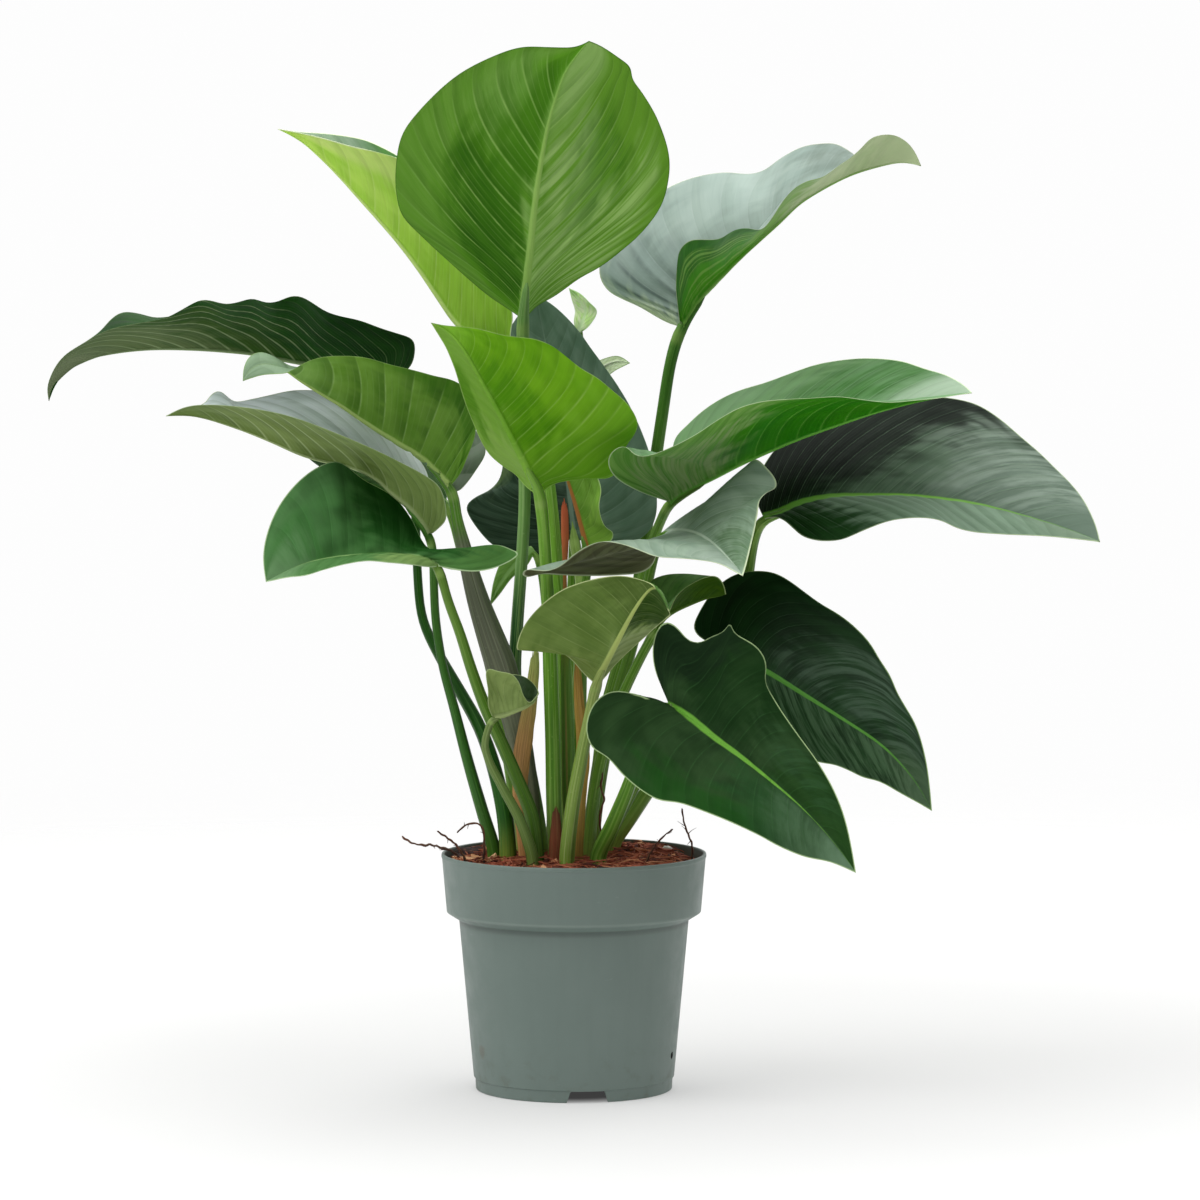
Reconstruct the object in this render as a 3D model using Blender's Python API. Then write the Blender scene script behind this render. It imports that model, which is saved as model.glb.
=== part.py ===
# Potted philodendron: a nursery pot filled with bark and coco mix, and a clump
# of leaves, each on its own petiole that rises out of the mix, with the dry
# sheaths and wiry roots between them.
# Metres, +Z up. The origin is the middle of the pot's foot, on the surface it
# stands on. The front of the plant faces -Y.
import bpy
import numpy as np
from math import sin, cos, pi, radians

for ob in list(bpy.data.objects):
    bpy.data.objects.remove(ob, do_unlink=True)

MM = 0.001

# ---- driving dimensions, millimetres --------------------------------------
POT_H = 170.0          # pot, foot to rim
RIM_R = 95.0           # rim, outer radius
BAND_R = 91.2          # lower edge of the rim band
BAND_Z = 128.0
WALL_TOP_R = 82.4      # wall just under the band
WALL_TOP_Z = 122.5
WALL_FOOT_R = 72.0     # wall just over the foot ring
STEP_Z = 9.0
FOOT_R = 70.5          # foot ring
WALL = 2.1             # wall thickness
FLOOR_Z = 11.5         # inside floor
BOSS_R = 12.0          # centre foot under the floor
NOTCH_W = 28.0         # drain notches in the foot ring
NOTCH_H = 8.2
NOTCH_AZ = 8.2         # first notch, degrees to the right of the front
SIDE_HOLE_R = 2.5
SIDE_HOLE_Z = 27.0
SIDE_HOLE_AZ = (72.0, 192.0)
SOIL_Z = 166.2         # potting mix, height of its middle
SOIL_EDGE_Z = 161.0
GAP = 0.35             # between the mix and the pot
SOCKET_GAP = 0.5       # round each petiole where it enters the mix
SOCKET_Z = 151.6
STEM_Z = 152.0         # lower end of each petiole, in its socket
LEAF_T = 0.9           # leaf thickness
SEG = 48               # round the pot

# ---- the elevation sheet ---------------------------------------------------
# The plant is laid out on a front elevation drawn in perspective from an eye
# point four metres in front of it. A point is (across, down, depth): the first
# two are sheet units, about 0.71 mm at the pot's axis, and depth is in
# millimetres behind the pot's axis (negative is nearer the front).
EYE = np.array([0.0187, -4.0, 0.64])
TILT = radians(4.125)
SHEET = 5612.0         # sheet units per unit of slope
MID = 600.0


def at(u, v, depth):
    a = (u - MID) / SHEET
    b = (MID - v) / SHEET
    dy = cos(TILT) + b * sin(TILT)
    dz = -sin(TILT) + b * cos(TILT)
    t = (-EYE[1] + depth * MM) / dy
    return np.array([EYE[0] + a * t, EYE[1] + dy * t, EYE[2] + dz * t])


# ---- leaves ----------------------------------------------------------------
# M is the midrib from the petiole to the tip, A and B the two margins from the
# petiole round the basal lobe to the tip. up says which way the upper face
# looks: +1 along midrib x (A to B), -1 against it.
LEAF = {}
LEAF["leaf_01_top"] = dict(up=1,
 M=[(523,316,-42),(529,262,-58),(535,204,-75),(541,163,-88),(549,122,-102),(556,98,-112),(565,73,-122),(578,54,-130),(589,41,-135)],
 A=[(518,316,-41),(508,309,-36),(490,297,-32),(455,267,-32),(420,235,-36),(402,215,-42),(396,190,-52),(396,165,-62),(402,135,-76),(420,110,-88),(455,77,-102),(487,59,-110),(521,47,-118),(550,47,-124),(575,47,-130),(589,41,-135)],
 B=[(528,316,-41),(537,306,-36),(555,296,-33),(580,278,-32),(600,267,-32),(622,250,-34),(641,233,-38),(660,208,-46),(668,183,-56),(669,155,-68),(657,118,-84),(643,94,-94),(632,78,-102),(631,68,-106),(618,57,-114),(601,46,-126),(589,41,-135)])
LEAF["leaf_02_upper_left"] = dict(up=-1,
 M=[(509,350,28),(490,345,28),(472,336,27),(455,320,26),(440,299,24),(420,270,20),(400,244,16),(380,221,12),(360,199,8),(340,177,5),(320,157,2),(300,140,0),(278,129,-2)],
 A=[(510,346,24),(511,330,10),(513,316,0),(508,295,-10),(498,262,-16),(480,225,-20),(455,190,-22),(425,168,-22),(396,157,-20),(375,151,-18),(350,146,-14),(325,139,-10),(300,133,-6),(278,129,-2)],
 B=[(507,348,32),(509,340,40),(507,318,50),(500,285,60),(485,245,66),(460,210,68),(430,178,66),(396,155,60),(385,149,56),(365,140,50),(340,135,42),(320,133,32),(300,132,18),(278,129,-2)])
LEAF["leaf_03_upper_right"] = dict(up=1,
 M=[(681,326,92),(688,314,91),(697,301,90),(720,277,86),(740,257,82),(761,238,78),(780,221,74),(798,204,70),(820,190,64),(850,175,56),(880,166,46),(903,162,38),(921,166,32)],
 A=[(680,324,90),(678,308,80),(676,290,66),(676,270,54),(679,250,44),(690,240,38),(705,240,34),(720,240,32),(735,231,30),(748,229,28),(761,231,28),(772,218,27),(783,200,26),(795,187,25),(808,180,24),(822,177,24),(838,166,24),(852,157,24),(863,147,24),(872,138,24),(893,135,25),(908,143,28),(916,154,30),(921,166,32)],
 B=[(678,326,94),(668,323,98),(655,316,104),(640,307,110),(622,299,118),(608,291,124),(600,278,128),(600,262,132),(612,238,138),(635,212,142),(662,191,144),(691,178,144),(725,172,142),(750,174,138),(765,170,134),(778,160,130),(802,147,122),(820,144,114),(836,144,106),(850,152,96),(862,160,84),(880,160,66),(900,158,48),(921,166,32)])
LEAF["leaf_04_left_long"] = dict(up=-1,
 M=[(388,378,95),(372,374,93),(345,370,90),(315,365,86),(285,360,82),(255,354,77),(225,351,71),(190,349,63),(150,349,53),(120,352,45),(95,357,36),(75,366,28),(60,378,20),(53,389,14),(49,401,9)],
 A=[(390,377,92),(401,374,84),(411,366,76),(415,352,68),(413,339,60),(400,334,54),(380,328,48),(360,321,44),(340,317,40),(325,312,36),(312,303,34),(300,296,32),(289,296,31),(278,301,30),(265,302,29),(253,297,28),(240,301,27),(225,304,26),(213,301,26),(201,300,26),(190,306,25),(178,313,24),(166,319,22),(150,322,20),(130,325,18),(110,329,16),(95,336,14),(80,345,12),(66,354,10),(57,364,9),(50,378,8),(47,388,8),(49,401,9)],
 B=[(386,377,97),(395,370,106),(400,355,118),(390,340,126),(365,330,130),(335,325,132),(305,316,130),(275,312,126),(240,312,120),(205,312,112),(175,316,102),(155,318,94),(140,314,86),(123,312,76),(112,318,66),(100,331,54),(85,342,42),(70,352,32),(57,364,22),(49,382,14),(49,401,9)])
LEAF["leaf_05_left_upper"] = dict(up=-1,
 M=[(450,485,12),(438,473,10),(422,458,6),(395,441,0),(368,424,-6),(340,405,-12),(315,390,-16),(298,379,-20),(287,371,-23),(275,366,-26),(262,364,-29),(250,370,-32),(243,381,-34)],
 A=[(452,484,9),(460,474,4),(468,455,-2),(475,435,-6),(476,415,-10),(470,397,-14),(462,385,-18),(450,379,-22),(435,376,-26),(416,371,-30),(390,365,-35),(365,358,-40),(341,356,-43),(322,357,-44),(308,361,-44),(297,367,-43),(287,373,-40),(275,374,-38),(262,375,-37),(252,378,-36),(243,381,-34)],
 B=[(449,488,14),(457,492,20),(466,484,26),(476,470,30),(486,452,33),(482,438,36),(470,425,38),(450,410,40),(425,396,40),(395,384,38),(360,374,34),(330,370,28),(305,368,18),(290,366,6),(276,358,-6),(262,352,-14),(250,356,-22),(244,367,-29),(243,381,-34)])
LEAF["leaf_06_left_lower"] = dict(up=-1,
 M=[(430,534,2),(420,519,1),(407,505,1),(392,493,2),(378,480,5),(360,470,8),(348,466,10),(335,463,11),(320,460,11),(300,454,10),(275,443,9),(248,432,8),(225,424,6),(205,418,2),(187,415,-3),(166,416,-8)],
 A=[(433,533,-1),(440,527,-8),(446,520,-14),(446,508,-20),(444,497,-25),(438,485,-28),(422,474,-32),(400,463,-35),(382,454,-37),(360,443,-38),(341,434,-39),(315,424,-40),(288,416,-39),(270,412,-37),(248,408,-34),(230,406,-31),(207,405,-26),(186,407,-18),(166,416,-8)],
 B=[(428,533,5),(425,520,14),(425,505,26),(428,490,38),(428,476,48),(423,465,55),(412,450,62),(395,430,68),(370,410,72),(345,397,74),(320,391,73),(300,390,70),(288,391,66),(270,395,60),(252,399,52),(234,402,44),(226,396,38),(219,391,33),(211,395,26),(205,403,18),(195,407,8),(180,411,-2),(166,416,-8)])
LEAF["leaf_07_left_round"] = dict(up=-1,
 M=[(438,565,-26),(430,560,-26),(419,557,-27),(400,556,-28),(377,555,-30),(340,557,-33),(312,562,-34),(290,570,-34),(266,582,-32)],
 A=[(436,567,-29),(426,567,-38),(412,565,-48),(390,563,-56),(367,561,-61),(345,564,-64),(325,570,-62),(308,575,-57),(290,577,-48),(276,580,-39),(266,582,-32)],
 B=[(440,566,-28),(450,568,-32),(462,571,-36),(482,571,-40),(500,566,-41),(512,560,-40),(521,553,-36),(513,551,-32),(503,546,-27),(485,546,-22),(465,549,-18),(445,551,-14),(430,549,-4),(422,540,10),(413,521,22),(396,498,28),(380,488,27),(366,481,20),(355,473,6),(346,466,-5),(336,461,-12),(318,467,-16),(300,480,-18),(284,498,-21),(273,517,-23),(266,537,-26),(263,557,-29),(266,582,-32)])
LEAF["leaf_08_center"] = dict(up=1,
 M=[(539,494,-32),(530,475,-38),(519,452,-48),(508,430,-60),(495,405,-76),(481,380,-94),(467,355,-117),(455,338,-135),(443,328,-150),(431,323,-162)],
 A=[(536,494,-30),(526,487,-25),(515,474,-23),(507,469,-23),(499,463,-25),(490,455,-29),(482,443,-36),(474,425,-48),(466,405,-64),(461,390,-77),(455,370,-94),(450,357,-108),(445,346,-124),(439,336,-142),(431,323,-162)],
 B=[(542,493,-30),(552,485,-20),(565,481,-10),(580,479,-3),(595,478,0),(607,479,2),(616,474,2),(620,462,-2),(626,446,-8),(635,434,-14),(638,424,-22),(634,413,-30),(625,401,-40),(610,388,-54),(598,378,-64),(580,368,-76),(566,357,-86),(553,347,-94),(535,339,-104),(510,336,-116),(495,333,-124),(480,329,-132),(465,327,-140),(450,326,-148),(440,325,-155),(431,323,-162)])
LEAF["leaf_09_right_upper"] = dict(up=1,
 M=[(669,502,38),(678,495,36),(690,488,34),(715,476,29),(739,464,24),(766,452,19),(800,438,12),(840,424,4),(880,411,-6),(915,402,-16),(945,396,-28),(972,393,-42)],
 A=[(667,501,35),(657,498,24),(645,494,10),(630,487,-8),(616,478,-22),(609,468,-32),(608,458,-38),(613,450,-41),(621,446,-42),(628,446,-43),(631,453,-43),(638,457,-43),(648,456,-43),(660,452,-43),(678,444,-44),(696,434,-45),(715,421,-46),(738,408,-49),(760,402,-52),(785,400,-55),(810,399,-57),(840,397,-59),(865,400,-60),(890,402,-60),(915,400,-57),(940,398,-52),(958,395,-47),(972,393,-42)],
 B=[(671,501,42),(677,492,52),(679,478,66),(676,462,78),(673,448,86),(677,436,91),(686,427,94),(700,413,97),(720,399,98),(740,390,97),(765,383,95),(790,374,91),(815,365,85),(840,360,77),(865,358,67),(900,361,49),(925,369,31),(945,375,11),(957,381,-6),(966,387,-24),(972,393,-42)])
LEAF["leaf_10_right_dark"] = dict(up=1,
 M=[(764,517,38),(778,513,38),(800,503,38),(830,497,36),(870,496,32),(905,496,27),(940,499,20),(975,504,12),(1020,515,-2),(1060,527,-16),(1100,542,-32)],
 A=[(765,519,36),(775,517,32),(785,521,26),(793,528,18),(802,536,10),(813,540,4),(826,541,0),(842,539,-4),(857,533,-8),(872,527,-11),(890,521,-14),(910,518,-17),(928,518,-19),(942,521,-21),(956,528,-22),(972,532,-23),(1000,534,-25),(1040,536,-28),(1075,539,-31),(1100,542,-32)],
 B=[(763,516,42),(758,505,52),(757,490,66),(762,470,82),(775,450,96),(795,430,108),(820,415,115),(850,406,118),(880,401,117),(910,398,113),(936,397,108),(955,399,102),(975,404,94),(990,412,86),(1005,423,77),(1020,436,67),(1040,453,53),(1055,468,41),(1070,483,28),(1082,498,14),(1090,512,0),(1096,526,-14),(1100,542,-32)])
LEAF["leaf_11_center_grey"] = dict(up=1,
 M=[(661,534,45),(672,531,30),(685,531,12),(697,534,-6),(708,540,-30),(718,548,-57),(727,557,-86),(735,566,-115),(743,576,-145)],
 A=[(658,535,44),(657,545,42),(656,557,38),(651,567,32),(640,573,24),(620,575,12),(600,576,0),(580,576,-12),(560,575,-24),(540,574,-36),(526,578,-45),(521,575,-49),(524,570,-51),(535,571,-53),(548,572,-56),(560,567,-60),(572,556,-64),(585,547,-67),(600,541,-72),(620,543,-80),(640,550,-91),(655,556,-99),(680,558,-110),(700,560,-120),(720,564,-131),(735,572,-139),(743,576,-145)],
 B=[(664,533,44),(680,522,40),(706,503,32),(730,485,20),(745,467,10),(756,459,0),(766,467,-8),(776,480,-18),(776,488,-26),(768,492,-34),(760,500,-44),(758,512,-56),(755,527,-72),(751,545,-95),(747,562,-120),(743,576,-145)])
LEAF["leaf_12_small_right"] = dict(up=1,
 M=[(655,630,-15),(664,618,-14),(674,611,-12),(690,604,-10),(707,598,-9),(718,596,-9),(726,594,-9)],
 A=[(656,628,-18),(662,621,-28),(669,612,-38),(675,600,-44),(684,589,-46),(696,581,-44),(708,577,-38),(717,577,-30),(723,583,-20),(726,594,-9)],
 B=[(653,628,-12),(646,618,-4),(643,605,4),(645,590,10),(652,580,14),(665,575,15),(685,574,14),(702,575,11),(715,577,4),(722,583,-2),(726,594,-9)])
LEAF["leaf_13_center_olive"] = dict(up=1,
 M=[(597,683,-48),(603,668,-62),(611,653,-76),(619,638,-91),(627,623,-106),(635,609,-122),(644,596,-138),(653,588,-152),(662,592,-164),(669,612,-168)],
 A=[(594,683,-46),(583,673,-42),(571,659,-40),(556,650,-42),(541,645,-48),(528,648,-54),(517,651,-60),(518,640,-66),(525,624,-74),(535,611,-82),(547,600,-91),(562,590,-101),(580,583,-112),(600,578,-124),(620,576,-135),(638,579,-145),(652,585,-154),(662,597,-162),(669,612,-168)],
 B=[(600,683,-46),(607,675,-44),(615,665,-46),(625,655,-50),(635,646,-57),(645,637,-67),(655,628,-84),(662,622,-104),(667,618,-126),(670,615,-148),(669,612,-168)])
LEAF["leaf_14_right_front"] = dict(up=1,
 M=[(669,706,-86),(690,718,-90),(715,738,-94),(740,756,-98),(770,780,-103),(800,806,-108),(825,832,-112),(845,857,-115),(856,873,-117)],
 A=[(667,708,-88),(655,703,-94),(645,698,-98),(632,694,-101),(618,691,-103),(605,694,-104),(595,702,-105),(589,713,-106),(586,727,-107),(588,740,-108),(594,750,-109),(604,755,-111),(612,762,-112),(620,772,-113),(634,785,-115),(645,793,-116),(658,800,-117),(680,803,-118),(700,810,-119),(730,822,-120),(760,836,-120),(778,846,-120),(805,857,-119),(830,862,-118),(845,868,-117),(856,873,-117)],
 B=[(671,704,-86),(664,690,-86),(657,676,-86),(653,660,-86),(653,645,-86),(657,630,-86),(666,621,-86),(678,628,-87),(688,640,-89),(700,643,-90),(712,636,-91),(724,632,-93),(731,621,-95),(733,632,-96),(741,637,-97),(755,645,-98),(764,656,-99),(767,668,-100),(765,680,-101),(778,705,-103),(797,733,-106),(818,762,-109),(835,792,-112),(846,822,-114),(856,873,-117)])
LEAF["leaf_15_right_back"] = dict(up=1,
 M=[(736,656,-20),(752,664,-22),(768,672,-24),(803,694,-29),(841,718,-35),(880,744,-42),(900,763,-46),(917,784,-50),(932,811,-55)],
 A=[(734,658,-20),(731,668,-18),(730,682,-16),(738,698,-16),(755,718,-22),(775,738,-28),(798,754,-34),(818,762,-38),(835,765,-41),(850,771,-43),(862,777,-45),(880,782,-48),(900,793,-50),(920,804,-53),(932,811,-55)],
 B=[(735,654,-18),(725,650,-8),(710,643,4),(698,636,10),(693,628,14),(699,613,20),(709,597,26),(722,583,30),(735,575,31),(755,571,29),(775,573,25),(790,581,20),(805,592,14),(820,603,8),(840,615,0),(855,627,-7),(870,643,-14),(880,660,-20),(890,675,-26),(897,692,-31),(905,706,-36),(915,723,-41),(922,743,-46),(927,765,-50),(930,788,-53),(932,811,-55)])
LEAF["leaf_16_small_curl"] = dict(up=1,
 M=[(494,717,-48),(505,715,-50),(516,711,-51),(526,707,-51),(534,702,-48),(539,693,-44)],
 A=[(492,716,-51),(488,705,-58),(488,690,-66),(487,669,-70),(500,672,-72),(512,674,-72),(519,682,-70),(523,695,-64),(530,703,-54),(539,693,-44)],
 B=[(493,716,-45),(490,705,-38),(492,690,-32),(497,680,-29),(507,675,-28),(518,675,-28),(528,679,-30),(535,685,-35),(539,693,-44)], a=1.1)
LEAF["leaf_17_center_back"] = dict(up=-1,
 M=[(574,536,98),(566,470,100),(556,400,102),(547,350,104),(540,315,106),(537,296,106)],
 A=[(571,537,98),(560,547,96),(545,556,92),(530,557,88),(510,552,86),(494,546,86),(480,532,86),(468,514,88),(466,506,89),(476,497,91),(490,490,93),(500,478,94),(503,455,95),(497,425,96),(494,395,98),(497,365,100),(505,338,102),(515,320,104),(526,306,106),(537,296,106)],
 B=[(577,537,98),(588,545,97),(600,549,95),(615,548,94),(635,542,93),(650,530,92),(656,515,92),(657,500,92),(655,480,92),(650,455,93),(645,440,94),(632,410,96),(618,386,98),(604,366,100),(590,347,102),(578,330,104),(560,311,105),(547,301,106),(537,296,106)])
LEAF["leaf_18_left_back"] = dict(up=-1,
 M=[(446,500,115),(420,485,119),(390,470,123),(355,458,127),(325,450,131),(297,447,133)],
 A=[(447,502,113),(440,510,107),(420,508,102),(395,498,100),(365,486,101),(340,476,105),(322,468,113),(308,458,123),(297,447,133)],
 B=[(446,498,119),(448,488,127),(440,470,138),(420,455,146),(390,443,150),(360,438,149),(335,440,146),(315,443,141),(297,447,133)])
LEAF["leaf_19_inner"] = dict(up=1, a=1.1,
 M=[(588,549,24),(584,535,25),(578,512,27),(571,490,30),(564,468,33),(556,438,36)],
 A=[(587,548,27),(588,538,38),(588,515,48),(584,490,52),(577,468,50),(568,450,44),(556,438,36)],
 B=[(590,549,22),(603,546,16),(612,540,12),(613,532,10),(606,528,8),(601,518,8),(599,505,9),(601,490,12),(597,475,16),(588,458,22),(574,444,30),(556,438,36)])
LEAF["leaf_20_young_upper"] = dict(up=-1, a=1.0,
 M=[(578,334,112),(583,322,108),(586,310,106),(578,298,106),(569,288,108)],
 A=[(577,333,113),(574,322,116),(575,311,118),(572,300,116),(569,288,108)],
 B=[(580,333,110),(590,325,102),(597,311,98),(589,302,98),(581,294,102),(569,288,108)], bulge=1.0)
LEAF["leaf_21_young_lower"] = dict(up=1, a=1.0,
 M=[(585,395,122),(592,380,122),(602,368,121),(615,362,120),(630,363,118)],
 A=[(583,394,122),(586,378,126),(594,364,128),(606,358,127),(618,356,124),(630,363,118)],
 B=[(587,396,120),(597,386,116),(608,376,113),(616,370,113),(624,366,115),(630,363,118)], bulge=1.0)
LEAF["leaf_22_back_low"] = dict(up=1, a=1.0,
 M=[(533,548,62),(522,558,60),(509,572,57),(498,588,54),(490,606,52)],
 A=[(531,546,63),(514,552,62),(501,563,60),(494,580,56),(490,606,52)],
 B=[(535,551,61),(526,567,59),(512,578,56),(500,594,53),(490,606,52)], bulge=1.0)

# ---- petioles and sheaths -----------------------------------------------------
# (x, y) of the foot in mm, radii at the foot, middle and top in mm, then points
# of the elevation sheet on the way up to the leaf.
PET = {}
PET["petiole_01"] = ((-23,14), (5.0,4.4,4.4), [(535,800,17),(524,740,19),(515,680,19),(517,630,16),(522,560,8),(525,500,-3),(524,450,-14),(524,400,-28),(523,350,-38),(523,320,-42)])
PET["petiole_02"] = ((-9,3), (5.5,5.0,4.2), [(567,800,4),(567,740,4),(565,680,4),(562,620,5),(557,570,6),(552,510,10),(544,450,16),(530,395,22),(515,360,26),(510,351,28)])
PET["petiole_03"] = ((11.5,58), (5.5,5.0,4.4), [(597,780,66),(612,700,80),(634,620,100),(642,560,112),(650,500,116),(657,450,112),(663,410,106),(671,360,98),(681,328,93)])
PET["petiole_04"] = ((-47,-8), (6.0,3.6,3.0), [(505,812,-5),(497,775,0),(482,730,10),(461,692,20),(438,652,34),(423,620,44),(418,575,54),(416,520,66),(411,470,76),(400,410,86),(389,380,94)])
PET["petiole_05"] = ((-32,2), (6.5,11.0,4.0), [(531,810,2),(524,765,0),(514,715,0),(503,672,1),(490,635,4),(478,600,9),(467,560,11),(457,520,12),(451,488,12)])
PET["petiole_06"] = ((-57,4), (5.0,3.6,3.2), [(484,815,4),(468,760,4),(455,710,5),(443,665,6),(436,620,8),(434,580,9),(433,553,7),(430,537,3)])
PET["petiole_07"] = ((-26,-28), (5.5,4.6,3.4), [(532,815,-28),(518,780,-28),(503,745,-29),(486,708,-30),(472,670,-30),(460,632,-30),(448,600,-29),(441,575,-27),(438,568,-26)])
PET["petiole_08"] = ((-12.7,-18), (5.8,5.4,4.4), [(554,800,-18),(553,740,-18),(551,680,-19),(549,620,-21),(546,560,-25),(542,510,-31),(540,497,-32)])
PET["petiole_09"] = ((11.6,42), (5.0,4.5,3.6), [(597,780,44),(606,710,50),(620,660,58),(638,600,66),(647,560,68),(656,532,60),(664,514,48),(669,504,39)])
PET["petiole_10"] = ((27,38), (5.5,4.6,3.8), [(625,825,38),(655,780,40),(700,715,45),(736,640,52),(747,585,54),(751,555,51),(756,532,45),(763,519,39)])
PET["petiole_11"] = ((13,24), (5.0,4.3,3.6), [(600,780,24),(614,710,28),(631,650,34),(644,600,40),(653,560,43),(660,537,45)])
PET["petiole_12"] = ((10,-8), (5.0,4.5,3.6), [(593,800,-8),(603,750,-9),(620,700,-11),(638,662,-13),(650,640,-15),(655,631,-15)])
PET["petiole_13"] = ((-4.8,-40), (5.5,5.0,4.0), [(572,810,-41),(580,765,-43),(588,725,-46),(595,690,-48),(597,685,-48)])
PET["petiole_14"] = ((17.3,-28), (6.0,5.0,3.6), [(612,825,-38),(628,787,-52),(641,750,-68),(652,722,-78),(662,708,-83),(668,706,-86)])
PET["petiole_15"] = ((22,8), (5.0,4.3,3.4), [(612,830,8),(632,790,6),(660,745,0),(700,695,-6),(722,669,-9),(732,659,-14)])
PET["petiole_16"] = ((-29,-43), (4.5,3.6,2.6), [(520,820,-44),(503,788,-45),(490,763,-46),(485,747,-47),(487,733,-48),(493,719,-48)])
PET["petiole_17"] = ((-3.4,32), (5.5,4.6,4.0), [(572,790,40),(576,720,50),(580,660,66),(582,600,82),(578,560,94),(574,539,98)])
PET["petiole_18"] = ((-37,34), (5.0,4.2,3.6), [(514,790,42),(503,720,55),(489,660,72),(474,600,90),(460,545,105),(448,505,114)])
PET["petiole_19"] = ((4,17), (4.5,4.0,3.2), [(578,800,19),(579,730,21),(581,650,23),(585,590,24),(588,552,24)])
PET["petiole_20"] = ((-8.5,62), (3.6,3.0,2.2), [(566,800,68),(570,700,82),(571,600,98),(574,520,112),(579,450,117),(582,380,117),(579,337,112)])
PET["petiole_21"] = ((3,74), (3.6,3.0,2.2), [(579,800,78),(582,700,92),(584,600,108),(586,520,120),(587,450,125),(585,398,122)])
PET["petiole_22"] = ((-17,40), (3.6,3.0,2.2), [(552,790,42),(550,700,48),(546,620,56),(540,570,61),(534,550,62)])
PET["sheath_center"] = ((-35.5,-14), (4.2,6.4,3.0), [(520,800,-12),(521,765,-13),(525,735,-14),(530,705,-15),(534,670,-17),(536,640,-20)])
PET["sheath_red"] = ((-13,-31), (5.0,4.8,2.4), [(556,840,-30),(556,806,-28.5)])
PET["sheath_orange"] = ((3,-24), (4.0,5.5,2.4), [(580,800,-25),(583,745,-28),(579,700,-30),(577,650,-32)])
PET["sheath_upper"] = ((-2,-6), (3.2,3.0,2.8), [(567,800,-7),(566,740,-8),(565,660,-8),(565,580,-6),(565,530,-3),(564,498,0)])


CUT = {"petiole_11": 2.6, "petiole_15": 1.0, "petiole_22": 2.6, "petiole_14": 2.0}

# ---- roots: radius in mm, then points; ("s", x, y) lies on the potting mix -----
ROOT = {}
ROOT["root_left_curl"] = (1.1, [(402,836,-12),(410,842,-12),(421,845,-11),(432,845,-9),(442,848,-7),(452,851,-6),("s",-80,-5)])
ROOT["root_left_loop"] = (1.0, [(457,833,-30),(463,827,-31),(474,823,-32),(482,827,-33),(484,838,-33),("s",-64,-32)])
ROOT["root_left_twig"] = (1.1, [(437,831,-42),(446,837,-42),(456,845,-40),("s",-74,-38)])
ROOT["root_right_upright"] = (0.9, [(682,808,-22),(684,822,-22),(688,834,-20),(692,845,-17),("s",84,-14)])
ROOT["root_centre_dry"] = (1.0, [(603,772,-17),(601,786,-18),(604,800,-19),(600,815,-19),(601,835,-19),("s",20,-18)])
ROOT["root_right_twig"] = (0.9, [(673,829,-46),(664,836,-46),(655,846,-44),("s",50,-42)])

# ---- rows, half columns, colour and roughness of each leaf ---------------------
LOOK = {
    "leaf_01_top": (10, 3, (0.085, 0.185, 0.030), 0.40),
    "leaf_02_upper_left": (10, 3, (0.210, 0.370, 0.045), 0.40),
    "leaf_03_upper_right": (12, 3, (0.300, 0.380, 0.340), 0.30),
    "leaf_04_left_long": (14, 3, (0.030, 0.060, 0.018), 0.38),
    "leaf_05_left_upper": (10, 3, (0.075, 0.160, 0.030), 0.40),
    "leaf_06_left_lower": (10, 3, (0.105, 0.160, 0.045), 0.40),
    "leaf_07_left_round": (15, 3, (0.020, 0.085, 0.026), 0.32),
    "leaf_08_center": (11, 3, (0.100, 0.260, 0.018), 0.40),
    "leaf_09_right_upper": (12, 3, (0.070, 0.180, 0.025), 0.38),
    "leaf_10_right_dark": (10, 3, (0.020, 0.040, 0.026), 0.30),
    "leaf_11_center_grey": (14, 3, (0.150, 0.210, 0.165), 0.32),
    "leaf_12_small_right": (8, 3, (0.050, 0.090, 0.020), 0.40),
    "leaf_13_center_olive": (11, 3, (0.095, 0.150, 0.040), 0.45),
    "leaf_14_right_front": (10, 3, (0.016, 0.052, 0.020), 0.30),
    "leaf_15_right_back": (10, 3, (0.013, 0.030, 0.018), 0.30),
    "leaf_16_small_curl": (8, 3, (0.110, 0.160, 0.050), 0.45),
    "leaf_17_center_back": (13, 3, (0.055, 0.085, 0.080), 0.35),
    "leaf_18_left_back": (8, 3, (0.015, 0.030, 0.018), 0.35),
    "leaf_19_inner": (8, 2, (0.100, 0.200, 0.025), 0.42),
    "leaf_20_young_upper": (6, 2, (0.220, 0.420, 0.160), 0.35),
    "leaf_21_young_lower": (6, 2, (0.300, 0.380, 0.230), 0.40),
    "leaf_22_back_low": (6, 2, (0.030, 0.090, 0.025), 0.40),
}
STEM_RGB = {
    "petiole_05": (0.105, 0.110, 0.080), "petiole_04": (0.035, 0.110, 0.020),
    "petiole_06": (0.050, 0.140, 0.020), "petiole_13": (0.220, 0.290, 0.060),
    "petiole_07": (0.150, 0.240, 0.035), "petiole_16": (0.160, 0.210, 0.050),
    "petiole_08": (0.120, 0.270, 0.025), "petiole_17": (0.150, 0.220, 0.050),
    "sheath_center": (0.300, 0.160, 0.055), "sheath_red": (0.130, 0.035, 0.018),
    "sheath_orange": (0.420, 0.150, 0.050), "sheath_upper": (0.400, 0.130, 0.045),
}


# ---- geometry --------------------------------------------------------------
def unit(v):
    return v / np.maximum(np.linalg.norm(v, axis=-1, keepdims=True), 1e-12)


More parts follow.
